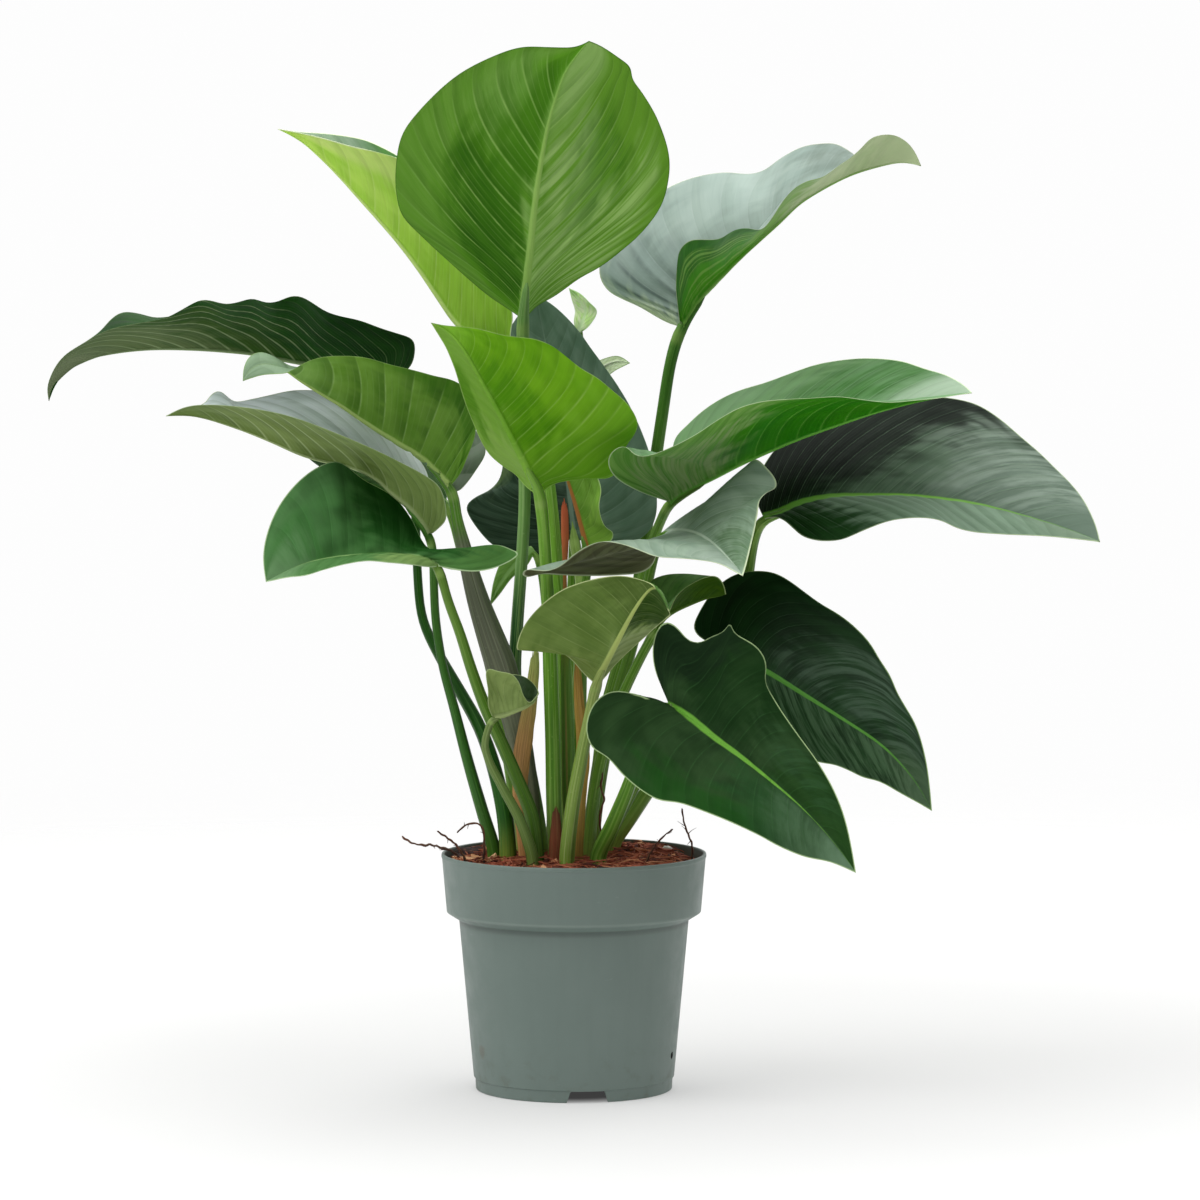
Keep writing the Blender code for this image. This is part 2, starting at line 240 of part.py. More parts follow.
def soil_top(x, y):
    """Height of the potting mix, mm, at x, y in mm."""
    r = (x * x + y * y) ** 0.5
    a = np.arctan2(y, x)
    base = SOIL_Z - (SOIL_Z - SOIL_EDGE_Z) * (r / 91.6) ** 2
    return base + min(1.0, r / 30.0) * (0.9 * sin(3 * a + 0.05 * r) + 0.6 * sin(7 * a + 0.11 * r))


def place(p):
    if p[0] == "w":
        return np.array(p[1:], float) * MM
    if p[0] == "s":
        return np.array([p[1], p[2], soil_top(p[1], p[2]) + 0.9]) * MM
    return at(*p)


def curve(points, fractions):
    """Smooth curve through the points, read at fractions of its length."""
    P = np.array([place(p) for p in points])
    seg = np.linalg.norm(np.diff(P, axis=0), axis=1)
    k = np.concatenate([[0], np.cumsum(np.sqrt(np.maximum(seg, 1e-6)))])
    m = np.zeros_like(P)
    for i in range(1, len(P) - 1):
        d0 = (P[i] - P[i - 1]) / (k[i] - k[i - 1])
        d1 = (P[i + 1] - P[i]) / (k[i + 1] - k[i])
        w0, w1 = k[i + 1] - k[i], k[i] - k[i - 1]
        m[i] = (d0 * w0 + d1 * w1) / (w0 + w1)
    m[0] = 1.5 * (P[1] - P[0]) / (k[1] - k[0]) - 0.5 * m[1]
    m[-1] = 1.5 * (P[-1] - P[-2]) / (k[-1] - k[-2]) - 0.5 * m[-2]
    fine = []
    for i in range(len(P) - 1):
        h = k[i + 1] - k[i]
        for j in range(12):
            s = j / 12
            fine.append((2 * s**3 - 3 * s**2 + 1) * P[i] + (s**3 - 2 * s**2 + s) * h * m[i]
                        + (-2 * s**3 + 3 * s**2) * P[i + 1] + (s**3 - s**2) * h * m[i + 1])
    fine.append(P[-1])
    fine = np.array(fine)
    L = np.concatenate([[0], np.cumsum(np.linalg.norm(np.diff(fine, axis=0), axis=1))])
    r = np.asarray(fractions, float) * L[-1]
    return np.stack([np.interp(r, L, fine[:, c]) for c in range(3)], axis=1), L[-1]


def leaf_grid(d, rows, cols):
    """Rows from petiole to tip, columns from margin A over the midrib to margin B."""
    r = np.linspace(0, 1, rows + 1)
    M = curve(d["M"], r ** d.get("a", 1.45))[0]
    A = curve(d["A"], r)[0]
    B = curve(d["B"], r)[0]
    G = np.zeros((rows + 1, 2 * cols + 1, 3))
    s = np.linspace(0, 1, cols + 1)
    T = unit(np.gradient(M, axis=0))
    swell = np.sin(pi * r ** 0.8) ** 0.8
    swell[-1] = 0.0
    for side, E in ((-1, A), (1, B)):
        for i in range(rows + 1):
            w = E[i] - M[i]
            n = unit(np.cross(T[i], w)) * side * d["up"]
            for j in range(cols + 1):
                lift = d.get("bulge", 4.0) * MM * swell[i] * 4 * s[j] * (1 - s[j]) * (1 - 0.35 * s[j])
                G[i, cols + side * j] = M[i] + s[j] * w + n * lift
    return G


plant = bpy.data.objects.new("plant", None)
bpy.context.scene.collection.objects.link(plant)


def principled(name, rgb, rough, metal=0.0):
    m = bpy.data.materials.new(name)
    m.use_nodes = True
    b = m.node_tree.nodes["Principled BSDF"]
    b.inputs["Base Color"].default_value = (*rgb, 1.0)
    b.inputs["Roughness"].default_value = rough
    b.inputs["Metallic"].default_value = metal
    m.diffuse_color = (*rgb, 1.0)
    return m


def add(name, V, F, mat, sharp=40.0, origin=(0.0, 0.0, 0.0)):
    """Mesh object with its origin at a point of its own, such as a leaf's joint."""
    me = bpy.data.meshes.new(name)
    V = np.array(V, float) - np.array(origin)
    me.from_pydata([tuple(float(c) for c in v) for v in V], [], [tuple(int(i) for i in f) for f in F])
    me.validate()
    me.update()
    me.materials.append(mat)
    me.shade_smooth()
    me.set_sharp_from_angle(angle=radians(sharp))
    ob = bpy.data.objects.new(name, me)
    ob.location = origin
    ob.parent = plant
    bpy.context.scene.collection.objects.link(ob)
    return ob


def outward(V, F):
    V = np.array(V)
    vol = 0.0
    for f in F:
        for k in range(1, len(f) - 1):
            vol += V[f[0]] @ np.cross(V[f[k]], V[f[k + 1]])
    return [tuple(reversed(f)) for f in F] if vol < 0 else F


def leaf(name, d, rows, cols, rgb, rough):
    """Leaf blade: a sheet of faces on both sides of the midrib, closed to LEAF_T."""
    G = leaf_grid(d, rows, cols)
    du, dv = np.gradient(G, axis=0), np.gradient(G, axis=1)
    N = unit(np.cross(du, dv))
    N[-1, :] = unit(N[-2].mean(axis=0))[None, :]
    h = LEAF_T * MM / 2
    w = 2 * cols + 1
    V, F = [], []
    for lay in (G + N * h, G - N * h):
        for i in range(rows):
            V.extend(lay[i])
        V.append(lay[rows, cols])
    n1 = rows * w + 1

    def idx(l, i, j):
        return l * n1 + (rows * w if i == rows else i * w + j)

    for i in range(rows):
        for j in range(w - 1):
            a, b, c, e = (idx(0, i, j), idx(0, i, j + 1), idx(0, i + 1, j + 1), idx(0, i + 1, j))
            a2, b2, c2, e2 = (idx(1, i, j), idx(1, i, j + 1), idx(1, i + 1, j + 1), idx(1, i + 1, j))
            if i == rows - 1:
                F += [(a, b, c), (a2, c2, b2)]
            elif j < cols:
                F += [(a, b, c), (a, c, e), (a2, c2, b2), (a2, e2, c2)]
            else:
                F += [(a, b, e), (b, c, e), (a2, e2, b2), (b2, e2, c2)]
    rim = [(0, j) for j in range(w)] + [(i, w - 1) for i in range(1, rows)]
    rim += [(rows, 0)] + [(i, 0) for i in range(rows - 1, 0, -1)]
    for k in range(len(rim)):
        p, q = rim[k], rim[(k + 1) % len(rim)]
        a, b, a2, b2 = idx(0, *p), idx(0, *q), idx(1, *p), idx(1, *q)
        F += [(a, a2, b2), (a, b2, b)]
    return add(name, V, outward(V, F), principled(name + "_mat", rgb, rough), 60.0, G[0, cols])


def rod(name, points, radii, rings, sides, rgb, rough, flat=1.0, cut=1.0, foot=0.0):
    """Tapered stem through the points, straight over its lowest foot mm, its
    upper end cut mm short of the leaf."""
    total = curve(points, [0.0])[1]
    low = foot * MM / total
    r = np.linspace(low, 1 - cut * MM / total, rings + 1)
    r = np.concatenate([[0.0], r]) if foot else r
    P = curve(points, r)[0]
    T = unit(np.gradient(P, axis=0))
    R = np.interp(r, [a for a, _ in radii], [b for _, b in radii]) * MM
    V, F = [], []
    for i in range(len(P)):
        s = unit(np.array([1.0, 0.0, 0.0]) - T[i] * T[i][0])
        q = np.cross(T[i], s)
        for k in range(sides):
            a = 2 * pi * k / sides
            V.append(P[i] + R[i] * (cos(a) * s + flat * sin(a) * q))
    for i in range(len(P) - 1):
        for k in range(sides):
            a, b = i * sides + k, i * sides + (k + 1) % sides
            F.append((a, b, b + sides, a + sides))
    F.append(tuple(range(sides - 1, -1, -1)))
    F.append(tuple(range((len(P) - 1) * sides, len(P) * sides)))
    return add(name, V, outward(V, F), principled(name + "_mat", rgb, rough), origin=P[0])


def turned(name, profile, mat, seg=SEG, bump=None, sharp=35.0):
    """Closed turned solid. profile runs from the axis underneath, round the
    outside, to the axis on top, as (radius, height) in mm."""
    V, F, rows = [], [], []
    for i, (r, z) in enumerate(profile):
        if r == 0:
            rows.append([len(V)])
            V.append((0, 0, z * MM))
            continue
        row = []
        for k in range(seg):
            a = 2 * pi * k / seg
            x, y = r * cos(a), r * sin(a)
            row.append(len(V))
            V.append((x * MM, y * MM, (bump(x, y) if bump and i in bump.rows else z) * MM))
        rows.append(row)
    for p, q in zip(rows, rows[1:]):
        for k in range(seg):
            k2 = (k + 1) % seg
            if len(p) == 1:
                F.append((p[0], q[k2], q[k]))
            elif len(q) == 1:
                F.append((p[k], p[k2], q[0]))
            else:
                F.append((p[k], p[k2], q[k2], q[k]))
    return add(name, V, outward(V, F), mat, sharp)


def cutter(name, V, F):
    me = bpy.data.meshes.new(name)
    me.from_pydata([tuple(v) for v in V], [], F)
    me.update()
    ob = bpy.data.objects.new(name, me)
    bpy.context.scene.collection.objects.link(ob)
    ob.hide_render = True
    ob.display_type = "WIRE"
    return ob


def prism(cx, cy, r, z0, z1, n, V, F):
    """Adds an upright n-sided prism to V and F, in mm."""
    o = len(V)
    for z in (z0, z1):
        for k in range(n):
            a = 2 * pi * (k + 0.5) / n
            V.append(((cx + r * cos(a)) * MM, (cy + r * sin(a)) * MM, z * MM))
    f = [(o + k, o + (k + 1) % n, o + n + (k + 1) % n, o + n + k) for k in range(n)]
    f += [tuple(o + k for k in range(n - 1, -1, -1)), tuple(o + n + k for k in range(n))]
    F += outward(V, f)


def block(c, ax, ay, az, half, taper, V, F):
    """Adds a box with half sizes along three axes, narrower at its top by taper."""
    o = len(V)
    for sz in (-1, 1):
        for sx, sy in ((-1, -1), (1, -1), (1, 1), (-1, 1)):
            hx = half[0] - (taper if sz > 0 else 0.0)
            V.append(tuple((c + ax * sx * hx + ay * sy * half[1] + az * sz * half[2]) * MM))
    F += outward(V, [(o, o + 3, o + 2, o + 1), (o + 4, o + 5, o + 6, o + 7), (o, o + 1, o + 5, o + 4),
                     (o + 1, o + 2, o + 6, o + 5), (o + 2, o + 3, o + 7, o + 6), (o + 3, o, o + 4, o + 7)])


def cut(ob, tool):
    m = ob.modifiers.new("cut", "BOOLEAN")
    m.operation = "DIFFERENCE"
    m.solver = "EXACT"
    m.object = tool


# ---- pot ---------------------------------------------------------------------
pot_mat = principled("pot_mat", (0.150, 0.205, 0.195), 0.45)
pot = turned("pot", [
    (0, 0), (BOSS_R, 0), (BOSS_R + 1.0, STEP_Z), (66.2, STEP_Z), (66.6, 0),
    (FOOT_R, 0), (FOOT_R + 0.3, 8.3), (WALL_FOOT_R, STEP_Z),
    (WALL_TOP_R, WALL_TOP_Z), (BAND_R, BAND_Z), (RIM_R - 0.4, 166.4), (RIM_R, 168.2),
    (RIM_R - 0.4, 169.5), (RIM_R - 1.2, POT_H), (RIM_R - 2.1, 169.5), (RIM_R - 2.4, 168.3),
    (BAND_R - WALL, BAND_Z + 1.6), (WALL_TOP_R - WALL, WALL_TOP_Z + 1.5),
    (WALL_FOOT_R - WALL + 0.3, FLOOR_Z + 1.5), (WALL_FOOT_R - WALL - 1.2, FLOOR_Z), (0, FLOOR_Z)],
    pot_mat)
V, F = [], []
for i in range(3):                       # drain notches in the foot ring
    a = radians(-90 + NOTCH_AZ + 120 * i)
    out = np.array([cos(a), sin(a), 0.0])
    side = np.array([-sin(a), cos(a), 0.0])
    block(out * 70.0 + np.array([0, 0, NOTCH_H / 2 - 1.0]), side, out, np.array([0, 0, 1.0]),
          (NOTCH_W / 2 + 0.8, 8.0, NOTCH_H / 2 + 1.0), 1.6, V, F)
for i in range(6):                       # drain holes in the floor
    a = radians(30 + 60 * i)
    prism(44 * cos(a), 44 * sin(a), 5.0, 4.0, 16.0, 12, V, F)
for az in SIDE_HOLE_AZ:                  # small holes low in the wall
    a = radians(-90 + az)
    out = np.array([cos(a), sin(a), 0.0])
    side = np.array([-sin(a), cos(a), 0.0])
    o = len(V)
    for d in (66.0, 80.0):
        for k in range(10):
            t = 2 * pi * k / 10
            p = out * d + side * SIDE_HOLE_R * cos(t) + np.array([0, 0, SIDE_HOLE_Z + SIDE_HOLE_R * sin(t)])
            V.append(tuple(p * MM))
    f = [(o + k, o + (k + 1) % 10, o + 10 + (k + 1) % 10, o + 10 + k) for k in range(10)]
    f += [tuple(o + k for k in range(9, -1, -1)), tuple(o + 10 + k for k in range(10))]
    F += outward(V, f)
cut(pot, cutter("pot_cutter", V, F))


# ---- potting mix -------------------------------------------------------------
def mix_bump(x, y):
    return soil_top(x, y)


mix_bump.rows = {5, 6, 7, 8, 9, 10}
mix = turned("potting_mix", [
    (0, FLOOR_Z + GAP), (68.3, FLOOR_Z + GAP), (69.3, FLOOR_Z + 2.2), (79.8, WALL_TOP_Z + 1.9),
    (88.5, BAND_Z + 2.0), (91.4, 0), (85, 0), (68, 0), (50, 0), (32, 0), (14, 0), (0, SOIL_Z)],
    principled("potting_mix_mat", (0.105, 0.042, 0.024), 0.9), bump=mix_bump, sharp=60.0)
V, F = [], []
for name, (base, radii, _) in PET.items():
    prism(base[0], base[1], radii[0] + SOCKET_GAP + 0.15, SOCKET_Z, 180.0, 14, V, F)
cut(mix, cutter("mix_cutter", V, F))

# ---- leaves ------------------------------------------------------------------
for name, d in LEAF.items():
    rows, cols, rgb, rough = LOOK[name]
    leaf(name, d, rows, cols, rgb, rough)

# ---- petioles and sheaths ----------------------------------------------------
for name, (base, radii, points) in PET.items():
    path = [("w", base[0], base[1], z) for z in (STEM_Z, 162.0, 171.0)] + points
    rr = [(0, radii[0]), (0.15, radii[0]), (0.55, radii[1]), (0.97, radii[2]), (1.0, radii[2] * 0.6)]
    sheath = name.startswith("sheath")
    rod(name, path, rr, 7 if sheath else 10, 8, STEM_RGB.get(name, (0.13, 0.24, 0.035)),
        0.6 if sheath else 0.42, flat=0.45 if sheath or name == "petiole_05" else 1.0,
        cut=CUT.get(name, 1.0), foot=18.5)

# ---- roots -------------------------------------------------------------------
for name, (radius, points) in ROOT.items():
    rod(name, points, [(0, radius * 0.8), (1, radius)], 7, 6, (0.060, 0.030, 0.018), 0.85, cut=0.0)
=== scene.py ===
from math import sin, cos, pi, radians, sqrt

import bpy
import numpy as np
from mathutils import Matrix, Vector


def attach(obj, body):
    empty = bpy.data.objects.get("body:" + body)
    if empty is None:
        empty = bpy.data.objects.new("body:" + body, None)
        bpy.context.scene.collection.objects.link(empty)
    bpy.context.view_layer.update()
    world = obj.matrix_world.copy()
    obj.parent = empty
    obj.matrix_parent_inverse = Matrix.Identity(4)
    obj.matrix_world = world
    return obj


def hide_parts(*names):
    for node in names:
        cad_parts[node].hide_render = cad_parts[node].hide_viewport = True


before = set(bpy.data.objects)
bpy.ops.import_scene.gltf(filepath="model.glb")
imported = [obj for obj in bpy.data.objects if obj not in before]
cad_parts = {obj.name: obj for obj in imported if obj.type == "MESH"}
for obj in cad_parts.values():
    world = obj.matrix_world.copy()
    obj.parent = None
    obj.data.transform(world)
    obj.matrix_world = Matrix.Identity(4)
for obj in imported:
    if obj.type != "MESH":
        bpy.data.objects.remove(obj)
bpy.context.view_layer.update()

MM = 0.001

# ---- the same dimensions as the CAD, millimetres ----------------------------
POT_H, RIM_R, BAND_R, BAND_Z = 170.0, 95.0, 91.2, 128.0
WALL_TOP_R, WALL_TOP_Z, WALL_FOOT_R, STEP_Z, FOOT_R = 82.4, 122.5, 72.0, 9.0, 70.5
WALL, FLOOR_Z, BOSS_R = 2.1, 11.5, 12.0
NOTCH_W, NOTCH_H, NOTCH_AZ = 28.0, 8.2, 8.2
SIDE_HOLE_R, SIDE_HOLE_Z, SIDE_HOLE_AZ = 2.5, 27.0, (72.0, 192.0)
SOIL_Z, SOIL_EDGE_Z, STEM_Z = 166.2, 161.0, 152.0

# ---- the elevation sheet the plant is laid out on -----------------------------
EYE = np.array([0.0187, -4.0, 0.64])
TILT = radians(4.125)
SHEET = 5612.0
MID = 600.0


def at(u, v, depth):
    a = (u - MID) / SHEET
    b = (MID - v) / SHEET
    dy = cos(TILT) + b * sin(TILT)
    dz = -sin(TILT) + b * cos(TILT)
    t = (-EYE[1] + depth * MM) / dy
    return np.array([EYE[0] + a * t, EYE[1] + dy * t, EYE[2] + dz * t])


# ---- leaves: M midrib, A and B margins, from the petiole to the tip ---------------
LEAF = {}
LEAF["leaf_01_top"] = dict(up=1,
 M=[(523,316,-42),(529,262,-58),(535,204,-75),(541,163,-88),(549,122,-102),(556,98,-112),(565,73,-122),(578,54,-130),(589,41,-135)],
 A=[(518,316,-41),(508,309,-36),(490,297,-32),(455,267,-32),(420,235,-36),(402,215,-42),(396,190,-52),(396,165,-62),(402,135,-76),(420,110,-88),(455,77,-102),(487,59,-110),(521,47,-118),(550,47,-124),(575,47,-130),(589,41,-135)],
 B=[(528,316,-41),(537,306,-36),(555,296,-33),(580,278,-32),(600,267,-32),(622,250,-34),(641,233,-38),(660,208,-46),(668,183,-56),(669,155,-68),(657,118,-84),(643,94,-94),(632,78,-102),(631,68,-106),(618,57,-114),(601,46,-126),(589,41,-135)])
LEAF["leaf_02_upper_left"] = dict(up=-1,
 M=[(509,350,28),(490,345,28),(472,336,27),(455,320,26),(440,299,24),(420,270,20),(400,244,16),(380,221,12),(360,199,8),(340,177,5),(320,157,2),(300,140,0),(278,129,-2)],
 A=[(510,346,24),(511,330,10),(513,316,0),(508,295,-10),(498,262,-16),(480,225,-20),(455,190,-22),(425,168,-22),(396,157,-20),(375,151,-18),(350,146,-14),(325,139,-10),(300,133,-6),(278,129,-2)],
 B=[(507,348,32),(509,340,40),(507,318,50),(500,285,60),(485,245,66),(460,210,68),(430,178,66),(396,155,60),(385,149,56),(365,140,50),(340,135,42),(320,133,32),(300,132,18),(278,129,-2)])
LEAF["leaf_03_upper_right"] = dict(up=1,
 M=[(681,326,92),(688,314,91),(697,301,90),(720,277,86),(740,257,82),(761,238,78),(780,221,74),(798,204,70),(820,190,64),(850,175,56),(880,166,46),(903,162,38),(921,166,32)],
 A=[(680,324,90),(678,308,80),(676,290,66),(676,270,54),(679,250,44),(690,240,38),(705,240,34),(720,240,32),(735,231,30),(748,229,28),(761,231,28),(772,218,27),(783,200,26),(795,187,25),(808,180,24),(822,177,24),(838,166,24),(852,157,24),(863,147,24),(872,138,24),(893,135,25),(908,143,28),(916,154,30),(921,166,32)],
 B=[(678,326,94),(668,323,98),(655,316,104),(640,307,110),(622,299,118),(608,291,124),(600,278,128),(600,262,132),(612,238,138),(635,212,142),(662,191,144),(691,178,144),(725,172,142),(750,174,138),(765,170,134),(778,160,130),(802,147,122),(820,144,114),(836,144,106),(850,152,96),(862,160,84),(880,160,66),(900,158,48),(921,166,32)])
LEAF["leaf_04_left_long"] = dict(up=-1,
 M=[(388,378,95),(372,374,93),(345,370,90),(315,365,86),(285,360,82),(255,354,77),(225,351,71),(190,349,63),(150,349,53),(120,352,45),(95,357,36),(75,366,28),(60,378,20),(53,389,14),(49,401,9)],
 A=[(390,377,92),(401,374,84),(411,366,76),(415,352,68),(413,339,60),(400,334,54),(380,328,48),(360,321,44),(340,317,40),(325,312,36),(312,303,34),(300,296,32),(289,296,31),(278,301,30),(265,302,29),(253,297,28),(240,301,27),(225,304,26),(213,301,26),(201,300,26),(190,306,25),(178,313,24),(166,319,22),(150,322,20),(130,325,18),(110,329,16),(95,336,14),(80,345,12),(66,354,10),(57,364,9),(50,378,8),(47,388,8),(49,401,9)],
 B=[(386,377,97),(395,370,106),(400,355,118),(390,340,126),(365,330,130),(335,325,132),(305,316,130),(275,312,126),(240,312,120),(205,312,112),(175,316,102),(155,318,94),(140,314,86),(123,312,76),(112,318,66),(100,331,54),(85,342,42),(70,352,32),(57,364,22),(49,382,14),(49,401,9)])
LEAF["leaf_05_left_upper"] = dict(up=-1,
 M=[(450,485,12),(438,473,10),(422,458,6),(395,441,0),(368,424,-6),(340,405,-12),(315,390,-16),(298,379,-20),(287,371,-23),(275,366,-26),(262,364,-29),(250,370,-32),(243,381,-34)],
 A=[(452,484,9),(460,474,4),(468,455,-2),(475,435,-6),(476,415,-10),(470,397,-14),(462,385,-18),(450,379,-22),(435,376,-26),(416,371,-30),(390,365,-35),(365,358,-40),(341,356,-43),(322,357,-44),(308,361,-44),(297,367,-43),(287,373,-40),(275,374,-38),(262,375,-37),(252,378,-36),(243,381,-34)],
 B=[(449,488,14),(457,492,20),(466,484,26),(476,470,30),(486,452,33),(482,438,36),(470,425,38),(450,410,40),(425,396,40),(395,384,38),(360,374,34),(330,370,28),(305,368,18),(290,366,6),(276,358,-6),(262,352,-14),(250,356,-22),(244,367,-29),(243,381,-34)])
LEAF["leaf_06_left_lower"] = dict(up=-1,
 M=[(430,534,2),(420,519,1),(407,505,1),(392,493,2),(378,480,5),(360,470,8),(348,466,10),(335,463,11),(320,460,11),(300,454,10),(275,443,9),(248,432,8),(225,424,6),(205,418,2),(187,415,-3),(166,416,-8)],
 A=[(433,533,-1),(440,527,-8),(446,520,-14),(446,508,-20),(444,497,-25),(438,485,-28),(422,474,-32),(400,463,-35),(382,454,-37),(360,443,-38),(341,434,-39),(315,424,-40),(288,416,-39),(270,412,-37),(248,408,-34),(230,406,-31),(207,405,-26),(186,407,-18),(166,416,-8)],
 B=[(428,533,5),(425,520,14),(425,505,26),(428,490,38),(428,476,48),(423,465,55),(412,450,62),(395,430,68),(370,410,72),(345,397,74),(320,391,73),(300,390,70),(288,391,66),(270,395,60),(252,399,52),(234,402,44),(226,396,38),(219,391,33),(211,395,26),(205,403,18),(195,407,8),(180,411,-2),(166,416,-8)])
LEAF["leaf_07_left_round"] = dict(up=-1,
 M=[(438,565,-26),(430,560,-26),(419,557,-27),(400,556,-28),(377,555,-30),(340,557,-33),(312,562,-34),(290,570,-34),(266,582,-32)],
 A=[(436,567,-29),(426,567,-38),(412,565,-48),(390,563,-56),(367,561,-61),(345,564,-64),(325,570,-62),(308,575,-57),(290,577,-48),(276,580,-39),(266,582,-32)],
 B=[(440,566,-28),(450,568,-32),(462,571,-36),(482,571,-40),(500,566,-41),(512,560,-40),(521,553,-36),(513,551,-32),(503,546,-27),(485,546,-22),(465,549,-18),(445,551,-14),(430,549,-4),(422,540,10),(413,521,22),(396,498,28),(380,488,27),(366,481,20),(355,473,6),(346,466,-5),(336,461,-12),(318,467,-16),(300,480,-18),(284,498,-21),(273,517,-23),(266,537,-26),(263,557,-29),(266,582,-32)])
LEAF["leaf_08_center"] = dict(up=1,
 M=[(539,494,-32),(530,475,-38),(519,452,-48),(508,430,-60),(495,405,-76),(481,380,-94),(467,355,-117),(455,338,-135),(443,328,-150),(431,323,-162)],
 A=[(536,494,-30),(526,487,-25),(515,474,-23),(507,469,-23),(499,463,-25),(490,455,-29),(482,443,-36),(474,425,-48),(466,405,-64),(461,390,-77),(455,370,-94),(450,357,-108),(445,346,-124),(439,336,-142),(431,323,-162)],
 B=[(542,493,-30),(552,485,-20),(565,481,-10),(580,479,-3),(595,478,0),(607,479,2),(616,474,2),(620,462,-2),(626,446,-8),(635,434,-14),(638,424,-22),(634,413,-30),(625,401,-40),(610,388,-54),(598,378,-64),(580,368,-76),(566,357,-86),(553,347,-94),(535,339,-104),(510,336,-116),(495,333,-124),(480,329,-132),(465,327,-140),(450,326,-148),(440,325,-155),(431,323,-162)])
LEAF["leaf_09_right_upper"] = dict(up=1,
 M=[(669,502,38),(678,495,36),(690,488,34),(715,476,29),(739,464,24),(766,452,19),(800,438,12),(840,424,4),(880,411,-6),(915,402,-16),(945,396,-28),(972,393,-42)],
 A=[(667,501,35),(657,498,24),(645,494,10),(630,487,-8),(616,478,-22),(609,468,-32),(608,458,-38),(613,450,-41),(621,446,-42),(628,446,-43),(631,453,-43),(638,457,-43),(648,456,-43),(660,452,-43),(678,444,-44),(696,434,-45),(715,421,-46),(738,408,-49),(760,402,-52),(785,400,-55),(810,399,-57),(840,397,-59),(865,400,-60),(890,402,-60),(915,400,-57),(940,398,-52),(958,395,-47),(972,393,-42)],
 B=[(671,501,42),(677,492,52),(679,478,66),(676,462,78),(673,448,86),(677,436,91),(686,427,94),(700,413,97),(720,399,98),(740,390,97),(765,383,95),(790,374,91),(815,365,85),(840,360,77),(865,358,67),(900,361,49),(925,369,31),(945,375,11),(957,381,-6),(966,387,-24),(972,393,-42)])
LEAF["leaf_10_right_dark"] = dict(up=1,
 M=[(764,517,38),(778,513,38),(800,503,38),(830,497,36),(870,496,32),(905,496,27),(940,499,20),(975,504,12),(1020,515,-2),(1060,527,-16),(1100,542,-32)],
 A=[(765,519,36),(775,517,32),(785,521,26),(793,528,18),(802,536,10),(813,540,4),(826,541,0),(842,539,-4),(857,533,-8),(872,527,-11),(890,521,-14),(910,518,-17),(928,518,-19),(942,521,-21),(956,528,-22),(972,532,-23),(1000,534,-25),(1040,536,-28),(1075,539,-31),(1100,542,-32)],
 B=[(763,516,42),(758,505,52),(757,490,66),(762,470,82),(775,450,96),(795,430,108),(820,415,115),(850,406,118),(880,401,117),(910,398,113),(936,397,108),(955,399,102),(975,404,94),(990,412,86),(1005,423,77),(1020,436,67),(1040,453,53),(1055,468,41),(1070,483,28),(1082,498,14),(1090,512,0),(1096,526,-14),(1100,542,-32)])
LEAF["leaf_11_center_grey"] = dict(up=1,
 M=[(661,534,45),(672,531,30),(685,531,12),(697,534,-6),(708,540,-30),(718,548,-57),(727,557,-86),(735,566,-115),(743,576,-145)],
 A=[(658,535,44),(657,545,42),(656,557,38),(651,567,32),(640,573,24),(620,575,12),(600,576,0),(580,576,-12),(560,575,-24),(540,574,-36),(526,578,-45),(521,575,-49),(524,570,-51),(535,571,-53),(548,572,-56),(560,567,-60),(572,556,-64),(585,547,-67),(600,541,-72),(620,543,-80),(640,550,-91),(655,556,-99),(680,558,-110),(700,560,-120),(720,564,-131),(735,572,-139),(743,576,-145)],
 B=[(664,533,44),(680,522,40),(706,503,32),(730,485,20),(745,467,10),(756,459,0),(766,467,-8),(776,480,-18),(776,488,-26),(768,492,-34),(760,500,-44),(758,512,-56),(755,527,-72),(751,545,-95),(747,562,-120),(743,576,-145)])
LEAF["leaf_12_small_right"] = dict(up=1,
 M=[(655,630,-15),(664,618,-14),(674,611,-12),(690,604,-10),(707,598,-9),(718,596,-9),(726,594,-9)],
 A=[(656,628,-18),(662,621,-28),(669,612,-38),(675,600,-44),(684,589,-46),(696,581,-44),(708,577,-38),(717,577,-30),(723,583,-20),(726,594,-9)],
 B=[(653,628,-12),(646,618,-4),(643,605,4),(645,590,10),(652,580,14),(665,575,15),(685,574,14),(702,575,11),(715,577,4),(722,583,-2),(726,594,-9)])
LEAF["leaf_13_center_olive"] = dict(up=1,
 M=[(597,683,-48),(603,668,-62),(611,653,-76),(619,638,-91),(627,623,-106),(635,609,-122),(644,596,-138),(653,588,-152),(662,592,-164),(669,612,-168)],
 A=[(594,683,-46),(583,673,-42),(571,659,-40),(556,650,-42),(541,645,-48),(528,648,-54),(517,651,-60),(518,640,-66),(525,624,-74),(535,611,-82),(547,600,-91),(562,590,-101),(580,583,-112),(600,578,-124),(620,576,-135),(638,579,-145),(652,585,-154),(662,597,-162),(669,612,-168)],
 B=[(600,683,-46),(607,675,-44),(615,665,-46),(625,655,-50),(635,646,-57),(645,637,-67),(655,628,-84),(662,622,-104),(667,618,-126),(670,615,-148),(669,612,-168)])
